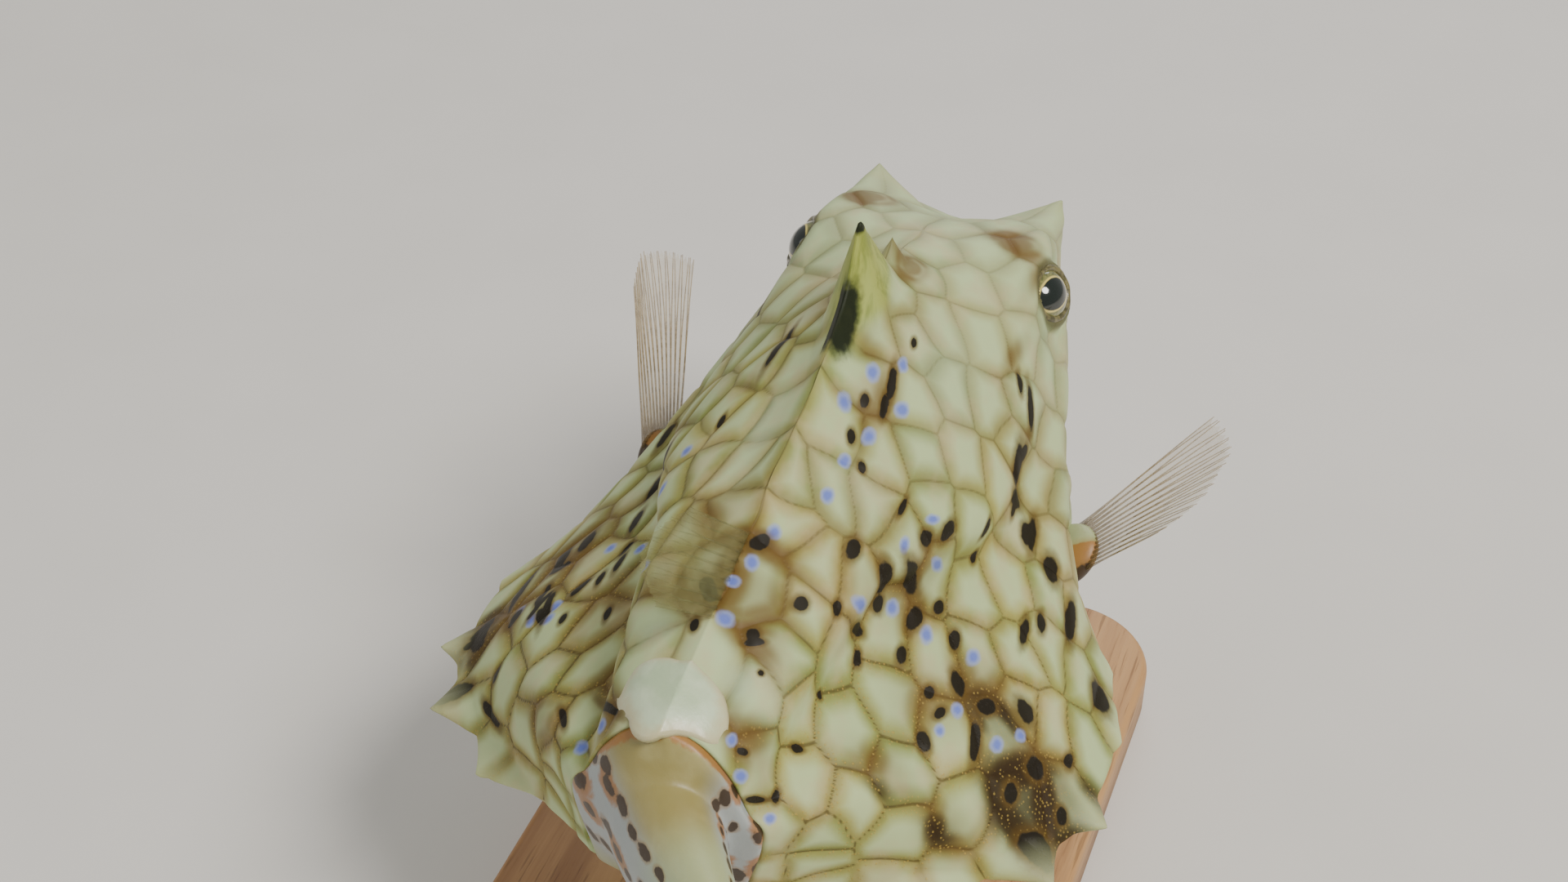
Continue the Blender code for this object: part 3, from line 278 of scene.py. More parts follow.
waist_out = curve((-0.006, 0.0080), (0.024, 0.0210), (0.055, 0.0300), (0.085, 0.0372),
                  (0.112, 0.0365), (0.135, 0.0290), (0.154, 0.0145))
waist_up = curve((-0.006, 0.0155), (0.006, 0.0210), (0.024, 0.0360), (0.040, 0.0345),
                 (0.060, 0.0285), (0.085, 0.0230), (0.120, 0.0250), (0.154, 0.0290))
ridge_out = curve((-0.006, 0.0070), (0.014, 0.0160), (0.043, 0.0260), (0.067, 0.0355),
                  (0.083, 0.0460), (0.102, 0.0518), (0.114, 0.0515), (0.127, 0.0465),
                  (0.148, 0.0180), (0.154, 0.0120))
ridge_up = curve((-0.006, 0.0115), (0.010, 0.0098), (0.135, 0.0092), (0.154, 0.0165))
belly_up = curve((-0.006, 0.0095), (0.020, 0.0025), (0.090, -0.0010), (0.138, 0.0050),
                 (0.154, 0.0145))
# The back spine's edge from the side, its half thickness, and how pointed the keel is
spine_up = curve(
    (0.0610, 0.0612), (0.0635, 0.0640), (0.0690, 0.0702), (0.0740, 0.0757), (0.0766, 0.0785),
    (0.0776, 0.0768), (0.0800, 0.0722), (0.0835, 0.0676), (0.0885, 0.0634), (0.0960, 0.0597))
spine_half = curve((0.0610, 0.0012), (0.0680, 0.0038), (0.0760, 0.0045), (0.0840, 0.0036),
                   (0.0960, 0.0016))
SPINE_START = 0.0610
SPINE_END = 0.0960
SPINE_POWER = 0.95
SPINE_KEEL = 0.0003
# The low knob in front of the spine
KNOB_STATION = 0.0592
KNOB_HALF_WIDTH = 0.0026
KNOB_HALF_LENGTH = 0.0036
KNOB_HEIGHT = 0.0036
# The black-green blotch low on the spine's right and rear
BLOTCH_STATION = 0.0850
BLOTCH_UP = 0.0668
BLOTCH_HALF = (0.0064, 0.0034)
BLOTCH_SLOPE = (0.75, 0.66)
DARK_TIP_UP = 0.0768
DARK_TIP_FADE = 0.0015


def unit(vector):
    """The vector, or each row's vector, at length 1."""
    return vector / np.linalg.norm(vector, axis=-1, keepdims=True)


def smooth(low, high, value):
    """0 below low, 1 above high and an S between."""
    t = np.clip((value - low) / (high - low), 0.0, 1.0)
    return t * t * (3 - 2 * t)


def walk(points, steps=24):
    """A Catmull-Rom line through points that are arrays over the stations."""
    p = np.stack(points)
    p = np.concatenate([2 * p[:1] - p[1:2], p, 2 * p[-1:] - p[-2:-1]])
    t = (np.arange(steps) / steps)[:, None, None]
    parts = [0.5 * (2 * b + (c - a) * t + (2 * a - 5 * b + 4 * c - d) * t * t
                    + (3 * b - a - 3 * c + d) * t ** 3)
             for a, b, c, d in zip(p, p[1:], p[2:], p[3:])]
    return np.concatenate([*parts, p[-2:-1]])


def half_sections(station):
    """The flank's and the belly's outlines at each station, in (out, up)."""
    def pair(out, up):
        return np.stack([np.broadcast_to(out, station.shape), up], axis=-1)

    crest = pair(0.0, crest_up(station))
    roof = pair(roof_out(station), crest_up(station) - roof_drop(station))
    shoulder = pair(shoulder_out(station), shoulder_up(station))
    drop = pair(drop_out(station), drop_up(station))
    waist = pair(waist_out(station), waist_up(station))
    ridge = pair(ridge_out(station), ridge_up(station))
    midline = pair(0.0, belly_up(station))
    under = pair(0.6 * ridge[:, 0], 0.25 * ridge[:, 1] + 0.75 * midline[:, 1])
    flank = walk((crest, roof, shoulder, drop, waist, ridge))
    return flank, walk((ridge, under, midline))


def shell(station, row):
    """Points of the smooth shell on a grid of stations by rows, and a row's height there."""
    flank, belly = half_sections(station)
    reach = np.abs(row)
    above = reach <= FLANK_ROWS
    points = np.zeros((len(station), len(row), 3))
    height = np.zeros((len(station), len(row)))
    for line, rows, part in ((flank, FLANK_ROWS, above), (belly, BELLY_ROWS, ~above)):
        start = 0 if line is flank else FLANK_ROWS
        fraction = (reach[part] - start) / rows
        lengths = np.linalg.norm(np.diff(line, axis=0), axis=-1)
        along = np.concatenate([np.zeros((1, len(station))), np.cumsum(lengths, axis=0)])
        for i in range(len(station)):
            target = fraction * along[-1, i]
            points[i, part, 0] = np.interp(target, along[:, i], line[:, i, 0])
            points[i, part, 2] = np.interp(target, along[:, i], line[:, i, 1])
            height[i, part] = along[-1, i] / rows
    points[..., 0] *= np.where(row < 0, -1.0, 1.0)
    points[..., 1] = station[:, None]
    return points, height


def grid_normals(points):
    """Outward normals of a grid whose last column meets its first."""
    along = np.gradient(points, axis=0)
    around = np.gradient(points, axis=1)
    around[:, 0] = around[:, -1] = points[:, 1] - points[:, -2]
    normal = np.cross(around, along)
    return normal / np.maximum(np.linalg.norm(normal, axis=-1, keepdims=True), 1e-12)


def surface_lengths(points, row):
    """Lengths in mm over the surface, along the body and from the crest, at every point."""
    steps = np.linalg.norm(np.diff(points, axis=0), axis=-1)
    along = np.concatenate([np.zeros((1, points.shape[1])), np.cumsum(steps, axis=0)])
    steps = np.linalg.norm(np.diff(points, axis=1), axis=-1)
    around = np.concatenate([np.zeros((len(points), 1)), np.cumsum(steps, axis=1)], axis=1)
    crest = np.argmin(np.abs(row))
    middle = np.searchsorted(points[:, 0, 1], PLATE_MIDDLE)
    return (along - along[middle]) / MM, (around - around[:, crest:crest + 1]) / MM


def plate_middles(station, row, along, around):
    """The listed plates on both flanks, and staggered rows of plates everywhere else."""
    random = np.random.default_rng(SEED + 5)
    listed = [(side * r, s) for r, s in PLATES for side in (-1, 1)]
    found = []
    for plate_row, plate_station in listed:
        i = np.argmin(np.abs(station - plate_station * MM))
        j = np.argmin(np.abs(row - plate_row))
        found.append((along[i, j], around[i, j]))
    lines = np.arange(PLATE_ROW_START, HALF_ROWS, PLATE_ROW_STEP)
    for number, line in enumerate(lines):
        stray = random.uniform(-PLATE_STRAY, PLATE_STRAY, PLATES_IN_LINE)
        for side in (-1, 1):
            j = np.argmin(np.abs(row - side * line))
            reach = np.arange(along[0, j], along[-1, j], PLATE_LENGTH)
            for count, place in enumerate(reach + 0.5 * PLATE_LENGTH * (number % 2)):
                i = min(np.searchsorted(along[:, j], place + stray[count]), len(station) - 1)
                spot = (along[i, j], around[i, j])
                grown = (1 - SNOUT_ROOM) * (station[i] - SHELL_FRONT) / CROWDED_LENGTH
                room = PLATE_ROOM * min(1.0, SNOUT_ROOM + grown)
                if min(np.hypot(spot[0] - x, spot[1] - y) for x, y in found) > room:
                    found.append(spot)
    return np.array(found)


def plates(station, row, points):
    """Distance to the nearest plate border, in plates, and a number between 0 and 1 for each."""
    along, around = surface_lengths(points, row)
    middles = plate_middles(station, row, along, around)
    tone = np.random.default_rng(SEED + 6).random(len(middles))
    apart = np.linalg.norm(middles[:, None] - middles[None, :], axis=-1)
    np.fill_diagonal(apart, 1e9)
    x = along + PLATE_WAVE * (np.sin(0.35 * around + 0.21 * along) + np.sin(0.53 * around))
    y = around + PLATE_WAVE * (np.sin(0.41 * along - 0.23 * around) + np.sin(0.57 * along))
    border, number = np.empty(x.shape), np.empty(x.shape)
    for i in range(len(station)):
        squared = (x[i, :, None] - middles[:, 0]) ** 2 + (y[i, :, None] - middles[:, 1]) ** 2
        own = np.argmin(squared, axis=1)
        least = squared[np.arange(len(own)), own][:, None]
        to_border = (squared - least) / (2.0 * apart[own])
        to_border[np.arange(len(own)), own] = 1e9
        border[i], number[i] = to_border.min(axis=1), tone[own]
    return border / PLATE_WIDTH, number


def spaced(low, high, count, density):
    """Values from low to high, closer together where the density is high."""
    fine = np.linspace(low, high, 6000)
    total = np.concatenate([[0.0], np.cumsum((density(fine[1:]) + density(fine[:-1])) / 2)])
    return np.interp(np.linspace(0.0, total[-1], count), total, fine)


def bump(value, centre, width):
    """A soft hill that is 1 at the centre."""
    return np.exp(-((value - centre) / width) ** 2)


def spot_field(station, row, height, spots):
    """1 in a spot's middle, 0 at its edge and below 0 outside, the largest of all spots."""
    field = np.full((len(station), len(row)), -1.0)
    for spot_row, spot_station, half_width, half_length, turn in spots:
        down = (row[None, :] - spot_row) * height / MM * math.copysign(1.0, spot_row)
        along = station[:, None] / MM - spot_station
        c, s = math.cos(math.radians(turn)), math.sin(math.radians(turn))
        out = np.hypot((c * down - s * along) / half_width, (c * along + s * down) / half_length)
        field = np.maximum(field, 1.0 - out)
    return field


def dark_spots():
    """The listed spots, the dark streaks along the flanks' folds, partly painted shade in the
    folds, and spots for the left flank.
    """
    random = np.random.default_rng(SEED)
    spots = list(DARK_SPOTS)
    spots += [(*streak, 0) for streak in DARK_STREAKS_AND_FOLD_SHADE]
    for row, station, across, along in DARK_STREAKS_AND_FOLD_SHADE:
        if row > 4.0:
            spots.append((-row + random.uniform(-0.3, 0.3), station - 22.0, across,
                          0.7 * along, 0))
    for row, station, across, along, turn in DARK_SPOTS:
        if row < -4.0 and station < 128.0:
            spots.append((-row + random.uniform(-0.4, 0.4), station + random.uniform(-5.0, 5.0),
                          0.8 * across, along, turn))
    return spots


def blue_spots():
    random = np.random.default_rng(SEED + 1)
    mirrored = [(-row + random.uniform(-0.3, 0.3), station + random.uniform(-4.0, 4.0), 1.2,
                 1.5, turn) for row, station, _, _, turn in BLUE_SPOTS if row < -2.0]
    return list(BLUE_SPOTS) + mirrored


def cloud_field(station, row, height, clouds):
    """Soft clouds, each as high as its strength in its middle, the largest of all."""
    field = np.zeros(height.shape)
    for cloud_row, cloud_station, half_around, half_along, strength in clouds:
        around = (row[None, :] - cloud_row) * height / (half_around * MM)
        along = (station[:, None] - cloud_station * MM) / (half_along * MM)
        field = np.maximum(field, strength * np.exp(-(around ** 2 + along ** 2)))
    return field


def raise_back_spine(points):
    """Raise the spine and the knob before it; 1 on the spine and 0 off it."""
    x, y = points[..., 0], points[..., 1]
    height = np.maximum(spine_up(y) - crest_up(y), 0.0)
    height *= (y > SPINE_START) & (y < SPINE_END)
    across = np.clip((np.abs(x) - SPINE_KEEL) / spine_half(y), 0.0, 1.0)
    profile = (1.0 - across) ** SPINE_POWER
    points[..., 2] += height * profile
    knob = 1.0 - np.hypot(x / KNOB_HALF_WIDTH, (y - KNOB_STATION) / KNOB_HALF_LENGTH)
    points[..., 2] += KNOB_HEIGHT * np.clip(knob, 0.0, 1.0) ** 1.3
    return smooth(0.0005, 0.0030, height * profile)


def raise_brow(points, side):
    """Pull the skin up to a brow horn, broad at its foot towards the eye."""
    base, tip, eye = (p * (side, 1, 1) for p in (BROW_BASE, BROW_TIP, EYE))
    axis = unit(tip - base)
    towards_eye = unit(eye - base - axis * ((eye - base) @ axis))
    across = np.cross(axis, towards_eye)
    offset = points - base
    up = offset @ axis
    reach = np.hypot(offset @ towards_eye / BROW_FOOT[0], offset @ across / BROW_FOOT[1])
    pull = np.clip(1.0 - reach, 0.0, 1.0) ** BROW_POWER * (up > -0.004)
    rise = np.maximum(np.linalg.norm(tip - base) - up, 0.0) * pull
    points += rise[..., None] * axis
    return smooth(0.10, 0.6, pull)


def shape_orbit(points, side):
    """A raised rim round the eye, and the skin inside it tucked behind the eyeball."""
    eye, axis = EYE * (side, 1, 1), EYE_AXIS * (side, 1, 1)
    offset = points - eye
    up = offset @ axis
    out = np.linalg.norm(offset - up[..., None] * axis, axis=-1)
    behind = np.sqrt(np.maximum(EYE_RADIUS ** 2 - out ** 2, 0.0)) - EYE_TUCK
    rim = np.interp(out / MM, ORBIT_OUT, ORBIT_UP) * MM
    near = (up > -ORBIT_BELOW) & (out < ORBIT_END)
    hold = 1.0 - smooth(*ORBIT_FADE, out)
    raised = np.maximum(up, up + (rim - up) * hold)
    target = np.where(out < ORBIT_CREST, np.where(out < ORBIT_OPENING, behind, rim), raised)
    points += (np.where(near, target - up, 0.0))[..., None] * axis
    return np.where(near, 1.0 - smooth(*ORBIT_TINT, out), 0.0)


def on_both_sides(shape, points, r):
    """Shape the skin on the left and then on the right; the mask of both changes."""
    return np.maximum(shape(points, 1) * (r > 0), shape(points, -1) * (r < 0))


def raise_ridge_spines(points, station, row, height):
    """Pull thorns out of both lower ridges; 1 at a thorn's tip and 0 beside it."""
    amount = np.zeros(points.shape[:2])
    for spine in RIDGE_SPINES:
        along = (station[:, None] - spine.station) / (spine.radius * THORN_STRETCH)
        around = (np.abs(row)[None, :] - FLANK_ROWS) * height / spine.radius
        pull = np.clip(1.0 - np.sqrt(along ** 2 + around ** 2), 0.0, 1.0) ** THORN_POWER
        rise = spine.length * pull
        points[..., 0] += rise * np.sign(points[..., 0])
        points[..., 1] += rise * spine.backward * THORN_SWEEP
        amount = np.maximum(amount, pull)
    return amount


def gill_slit(points):
    """How far each point lies in the gill slit, and on the flap behind it."""
    up = points[..., 2] - SLIT_UP
    behind = points[..., 1] - SLIT_STATION + SLIT_LEAN * up
    beside = (1 - smooth(0.0035, 0.0065, np.abs(up))) * (np.abs(points[..., 0]) > 0.02)
    return bump(behind, 0.0, SLIT_HALF) * beside, bump(behind, FLAP_BEHIND, FLAP_HALF) * beside


def skin_grid():
    station = spaced(SHELL_FRONT, SHELL_REAR, SKIN_STATIONS,
                     lambda s: 1 + 1.3 * bump(s, 0.0766, 0.006) + 0.8 * bump(s, 0.032, 0.016))
    row = spaced(-HALF_ROWS, HALF_ROWS, SKIN_ROWS + 1,
                 lambda r: 1 + 6 * bump(r, 0, 0.28) + 2.5 * bump(abs(r), FLANK_ROWS, 0.2))
    return station, row


def make_skin_mesh():
    """The skin's points on its grid, and the masks that its material reads."""
    station, row = skin_grid()
    points, height = shell(station, row)
    place = (station, row, height)
    s, r = np.meshgrid(station, row, indexing="ij")
    on_back = np.abs(r) < BACK_ROWS
    hollow = (HOLLOW_DEPTH * bump(points[..., 0], 0.0, HOLLOW_HALF_WIDTH)
              * bump(s, HOLLOW_STATION, HOLLOW_HALF_LENGTH))
    points[..., 2] -= hollow * (points[..., 2] > HOLLOW_ABOVE)
    keel = (1.0 - np.clip(np.abs(points[..., 0]) / KEEL_HALF, 0.0, 1.0)) ** 2
    keel *= smooth(*KEEL_RISE, s) * (1 - smooth(*KEEL_FALL, s))
    points[..., 2] += KEEL_HEIGHT * keel * on_back
    normals = grid_normals(points)
    inner, tone = plates(station, row, points)
    ends = smooth(*FRONT_FADE, s) * (1 - smooth(*REAR_FADE, s))
    across_spine = np.abs(points[..., 0]) / spine_half(s)
    on_spine = ((1 - smooth(0.7, 1.3, across_spine)) * smooth(*BARE_RISE, s)
                * (1 - smooth(*BARE_FALL, s)) * on_back)
    plated = ends * (1 - on_spine)
    relief = CROWN * (1 - (1 - np.clip(inner / CROWN_WIDTH, 0, 1)) ** 2.0)
    relief -= GROOVE * bump(inner, 0.0, GROOVE_WIDTH)
    relief *= 1.0 + 0.3 * (tone - 0.5) * smooth(0.0, 0.2, inner)
    points += (relief * plated)[..., None] * normals

    leaf = raise_back_spine(points) * on_back
    horn = on_both_sides(raise_brow, points, r)
    rim = on_both_sides(shape_orbit, points, r)
    thorn = raise_ridge_spines(points, *place)
    # both nostrils at once: the fish's right half is folded onto its left
    from_nostril = np.abs(points * (1, 0, 0)) + points * (0, 1, 1) - NOSTRIL
    pit = bump(np.linalg.norm(from_nostril, axis=-1), 0.0, NOSTRIL_RADIUS)
    points -= (NOSTRIL_DEPTH * pit)[..., None] * normals
    slit, flap = gill_slit(points)
    points += (FLAP_HEIGHT * flap - SLIT_DEPTH * slit)[..., None] * normals

    back, lift = points[..., 1] - BLOTCH_STATION, points[..., 2] - BLOTCH_UP
    along, up = BLOTCH_SLOPE
    blotch = np.hypot((along * back - up * lift) / BLOTCH_HALF[0],
                      (up * back + along * lift) / BLOTCH_HALF[1])
    inky = np.where((points[..., 0] < 0.0012) & on_back, 1.0 - blotch, -1.0)
    tip = np.clip((points[..., 2] - DARK_TIP_UP) / DARK_TIP_FADE, -1.0, 0.6)
    pale = (smooth(FLANK_ROWS + 0.2, FLANK_ROWS + 1.5, np.abs(r)), 0.9 * flap,
            cloud_field(*place, PALE_PLACES), 0.75 * (1 - smooth(0.030, 0.090, s)))
    masks = {
        "leaf": leaf, "horn": horn, "rim": rim, "thorn": thorn,
        # the dark spots, and the nostril pits painted dark as shade in their hollows
        "dark": np.maximum(spot_field(*place, dark_spots()), 2.0 * pit - 1.0),
        "blue": spot_field(*place, blue_spots()),
        "brown_and_shade": cloud_field(*place, BROWN_AND_SHADE_CLOUDS),
        # real stains, and the gill slit painted near black as shade in its groove
        "stains_and_slit_shade": np.maximum(cloud_field(*place, STAINS), 0.9 * slit),
        "pale": np.maximum.reduce(pale),
        "inky": np.maximum(inky, np.where(leaf > 0.2, tip, -1.0)),
        "plated": plated, "border": inner, "tone": tone,
        "granular": smooth(0.085, 0.115, s) * smooth(1.0, 3.0, np.abs(r)),
    }
    return points, masks


def fold_in(ring, inward, deep):
    """Rings that turn a free edge inwards and back behind the surface."""
    centre = ring.mean(axis=0)
    rings = []
    for t in (0.2, 0.4, 0.6, 0.8, 1.0):
        shrunk = centre + (ring - centre) * (1 - inward * t ** 1.2)
        shrunk[:, 1] = ring[:, 1] + deep * t ** 2
        rings.append(shrunk)
    return rings


def grids_mesh(name, grids, masks=None):
    """One smooth mesh over grids that close on themselves in their second direction."""
    faces, start = [], 0
    for points in grids:
        index = np.arange(points[..., 0].size).reshape(points.shape[:2]) + start
        following = np.roll(index, -1, axis=1)
        corners = (index[:-1], following[:-1], following[1:], index[1:])
        faces.append(np.stack(corners, axis=-1).reshape(-1, 4))
        start += index.size
    faces = np.concatenate(faces)
    mesh = bpy.data.meshes.new(name)
    mesh.vertices.add(start)
    mesh.vertices.foreach_set("co", np.concatenate([points.reshape(-1) for points in grids]))
    mesh.loops.add(faces.size)
    mesh.loops.foreach_set("vertex_index", faces.reshape(-1))
    mesh.polygons.add(len(faces))
    mesh.polygons.foreach_set("loop_start", np.arange(len(faces)) * 4)
    mesh.polygons.foreach_set("use_smooth", np.ones(len(faces), bool))
    mesh.update(calc_edges=True)
    for key, values in (masks or {}).items():
        attribute = mesh.attributes.new(key, "FLOAT", "POINT")
        attribute.data.foreach_set("value", values.reshape(-1).astype(np.float32))
    return mesh


def grid_mesh(name, points, masks=None):
    return grids_mesh(name, [points], masks)


def add_piece(name, mesh, material, replaced=()):
    piece = bpy.data.objects.new(name, mesh)
    bpy.context.scene.collection.objects.link(piece)
    mesh.materials.append(material)
    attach(piece, "root")
    if replaced:
        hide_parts(*replaced)
    return piece


def make_skin(material):
    points, masks = make_skin_mesh()
    points = points[:, :-1]
    masks = {key: value[:, :-1] for key, value in masks.items()}
    front = fold_in(points[0], *FRONT_FOLD)[::-1]
    rear = fold_in(points[-1], *REAR_FOLD)
    points = np.concatenate([np.stack(front), points, np.stack(rear)])

    def stretched(values):
        return np.concatenate([np.repeat(values[:1], len(front), axis=0), values,
                               np.repeat(values[-1:], len(rear), axis=0)])

    masks = {key: stretched(value) for key, value in masks.items()}
    mesh = grid_mesh("shell_skin", points + FISH_OFFSET, masks)
    add_piece("shell_skin", mesh, material,
              ("head", "torso", "dorsal_spine", "brow_spine_left", "brow_spine_right"))


def rgb(red, green, blue):
    """A colour given as screen values from 0 to 255."""
    return tuple(
        (v / 12.92 if v <= 0.04045 else ((v + 0.055) / 1.055) ** 2.4)
        for v in (red / 255, green / 255, blue / 255)) + (1.0,)


class Graph:
    """Builds a material's nodes. Values may be numbers, colours or sockets."""

    def __init__(self, name, roughness=0.4):
        self.material = bpy.data.materials.new(name)
        self.material.use_nodes = True
        self.tree = self.material.node_tree
        self.shader = self.tree.nodes["Principled BSDF"]
        self.set("Roughness", roughness)

    def set(self, socket, value):
        target = self.shader.inputs[socket]
        if isinstance(value, bpy.types.NodeSocket):
            self.tree.links.new(value, target)
        else:
            target.default_value = value

    def node(self, kind, inputs=(), output=0, **settings):
        node = self.tree.nodes.new(kind)
        for key, value in settings.items():
            setattr(node, key, value)
        for key, value in dict(inputs).items():
            if isinstance(value, bpy.types.NodeSocket):
                self.tree.links.new(value, node.inputs[key])
            else:
                node.inputs[key].default_value = value
        return node.outputs[output]

    def math(self, operation, a, b=0.0, clamp=False):
        return self.node("ShaderNodeMath", {0: a, 1: b}, operation=operation, use_clamp=clamp)

    def times(self, a, b, clamp=False):
        return self.math("MULTIPLY", a, b, clamp)

    def plus(self, a, b, clamp=False):
        return self.math("ADD", a, b, clamp)

    def minus(self, a, b, clamp=False):
        return self.math("SUBTRACT", a, b, clamp)

    def about_zero(self, noise, size):
        """A noise moved so that its middle value gives 0, times a size."""
        return self.times(self.minus(noise, 0.5), size)

    def paint(self, colour, other, value, low, high, start=0.0, end=1.0):
        """The colour, turning into the other as the value goes from low to high."""
        return self.mix(self.step(value, low, high, start, end), colour, other)

    def soften(self, weight, radius):
        self.set("Subsurface Weight", weight)
        self.set("Subsurface Radius", radius)
        self.set("Subsurface Scale", 1.0)

    def coat(self, weight, roughness):
        self.set("Coat Weight", weight)
        self.set("Coat Roughness", roughness)

    def step(self, value, low, high, start=0.0, end=1.0):
        """From start to end as the value goes from low to high, as an S."""
        return self.node("ShaderNodeMapRange",
                         {"Value": value, "From Min": low, "From Max": high,
                          "To Min": start, "To Max": end}, interpolation_type="SMOOTHSTEP")

    def mix(self, factor, a, b):
        return self.node("ShaderNodeMix", {0: factor, 6: a, 7: b}, 2, data_type="RGBA")

    def value(self, name):
        return self.node("ShaderNodeAttribute", output="Fac", attribute_name=name)

    def place(self):
        return self.node("ShaderNodeTexCoord", output="Object")

    def noise(self, place, scale, detail=3.0, roughness=0.5, distortion=0.0):
        return self.node("ShaderNodeTexNoise",
                         {"Vector": place, "Scale": scale, "Detail": detail,
                          "Roughness": roughness, "Distortion": distortion}, "Fac")

    def cells(self, place, scale):
        return self.node("ShaderNodeTexVoronoi", {"Vector": place, "Scale": scale}, "Distance")

    def bump(self, height, distance, strength):
        return self.node("ShaderNodeBump",
                         {"Height": height, "Distance": distance, "Strength": strength})

    def stretched(self, place, x, y, z):
        return self.node("ShaderNodeVectorMath", {0: place, 1: (x, y, z)}, operation="MULTIPLY")


def skin_material():
    """Pale plates with lighter greenish middles, partly a painted highlight on each domed plate,
    brown borders, and the markings over them.
    """
    g = Graph("turretfish_skin")
    place = g.place()
    inner, plated, brown_and_shade, stains_and_slit_shade, pale = (
        g.value(name) for name in ("border", "plated", "brown_and_shade", "stains_and_slit_shade", "pale"))
    broad = g.noise(place, 45.0, 4.0, 0.55)
    fine = g.noise(place, 420.0, 4.0, 0.6)
    fuzz = g.about_zero(fine, 0.10)
    colour = g.mix(g.step(g.value("tone"), 0.1, 0.9), rgb(160, 156, 86), rgb(134, 144, 78))
    colour = g.paint(colour, rgb(146, 122, 66), broad, 0.42, 0.66, 0.0, 0.5)
    colour = g.mix(g.times(pale, 0.75), colour, rgb(176, 192, 158))
    # a plate's middle is lighter: partly its own paler colour, partly a painted highlight on its
    # dome
    middle = g.step(g.plus(inner, g.times(fine, 0.08)), 0.10, 0.42)
    colour = g.mix(g.times(middle, 0.8), colour, rgb(186, 202, 152))
    blush = g.noise(g.stretched(place, 1.3, 1.0, 1.0), 110.0, 3.0, 0.6)
    colour = g.paint(colour, rgb(190, 172, 134), blush, 0.45, 0.68, 0.0, 0.40)

    # borders: a soft brown halo and a thin dark line
    halo = g.plus(g.step(pale, 0.0, 0.8, 0.28, 0.10), g.times(brown_and_shade, 0.9), clamp=True)
    halo = g.times(g.step(g.plus(inner, fuzz), 0.0, 0.15, 1.0, 0.0), halo)
    colour = g.mix(g.times(halo, plated), colour, rgb(100, 80, 32))
    line = g.times(g.step(inner, 0.006, 0.040, 1.0, 0.0), plated)
    strength = g.plus(0.45, g.times(g.value("granular"), 0.3))
    strength = g.minus(strength, g.times(pale, 0.4), clamp=True)
    colour = g.mix(g.times(line, strength), colour, rgb(74, 62, 28))

    # brown clouds, partly painted shade on the left flank and below the right flank's fold, and
    # nearly black stains, weaker in a plate's middle, and bright granules
    cloud = g.step(g.plus(g.times(brown_and_shade, 1.25), fuzz), 0.15, 0.95, 0.0, 0.85)
    cloud = g.times(cloud, g.step(inner, 0.16, 0.42, 1.0, g.step(brown_and_shade, 0.9, 1.3, 0.5, 0.9)))
    colour = g.mix(cloud, colour, rgb(104, 78, 34))
    # the stains' mask also paints the gill slit near black, as shade in its groove
    stain_and_slit_shade_mix = g.step(g.plus(g.plus(stains_and_slit_shade, fuzz), g.times(broad, 0.3)), 0.40, 0.85, 0.0, 0.94)
    stain_and_slit_shade_mix = g.times(stain_and_slit_shade_mix, g.step(inner, 0.14, 0.42, 1.0, g.step(stains_and_slit_shade, 0.7, 1.2, 0.45, 0.95)))
    colour = g.mix(stain_and_slit_shade_mix, colour, rgb(44, 30, 11))
    near_edge = g.step(inner, 0.05, 0.24, 1.0, 0.0)
    granules = g.step(g.cells(place, 1500.0), 0.16, 0.34, 1.0, 0.0)
    grain_zone = g.math("MAXIMUM", g.times(near_edge, g.value("granular")), stain_and_slit_shade_mix)
    granules = g.times(granules, grain_zone)
    colour = g.mix(g.times(granules, 0.55), colour, rgb(172, 146, 70))

    # lavender and dark spots; the dark mask also paints the nostril pits, as shade in their hollows
    soft = g.about_zero(g.noise(place, 600.0, 3.0), 0.5)
    blue = g.plus(g.value("blue"), soft)
    colour = g.paint(colour, rgb(138, 152, 200), blue, -0.2, 0.3, 0.0, 0.75)
    colour = g.paint(colour, rgb(92, 110, 192), blue, 0.15, 0.7, 0.0, 0.8)
    dark = g.plus(g.value("dark"), soft)
    colour = g.paint(colour, rgb(90, 68, 24), dark, -0.85, 0.1, 0.0, 0.75)
    colour = g.paint(colour, rgb(24, 20, 12), dark, -0.02, 0.2, 0.0, 0.96)

    # the green spine, the horns, the spine's blotch, the eyes' rims and the thorns
    mottle = g.noise(g.stretched(place, 3.0, 1.0, 0.5), 260.0, 3.0, 0.6, 0.6)
    leafy = g.mix(g.step(mottle, 0.4, 0.65), rgb(160, 168, 80), rgb(126, 138, 56))
    colour = g.mix(g.times(g.value("leaf"), 0.85), colour, leafy)
    horn = g.times(g.step(g.value("horn"), 0.05, 0.8), 0.6)
    colour = g.mix(horn, colour, rgb(176, 186, 134))
    inky = g.plus(g.value("inky"), soft)
    colour = g.paint(colour, rgb(14, 22, 10), inky, -0.15, 0.35, 0.0, 0.97)
    rim = g.plus(g.value("rim"), fuzz)
    colour = g.paint(colour, rgb(78, 74, 42), rim, 0.30, 0.90, 0.0, 0.85)
    colour = g.mix(g.times(g.value("thorn"), 0.6), colour, rgb(200, 206, 158))
    g.set("Base Color", colour)
    g.set("Roughness", g.plus(g.times(fine, 0.20), 0.42))
    g.set("Specular IOR Level", 0.2)
    g.soften(0.08, (0.004, 0.003, 0.0015))
    heights = g.plus(g.times(fine, 0.5), g.times(granules, 0.8))
    heights = g.minus(heights, g.times(line, 0.6))
    g.set("Normal", g.bump(heights, 0.00010, 0.6))
    return g.material


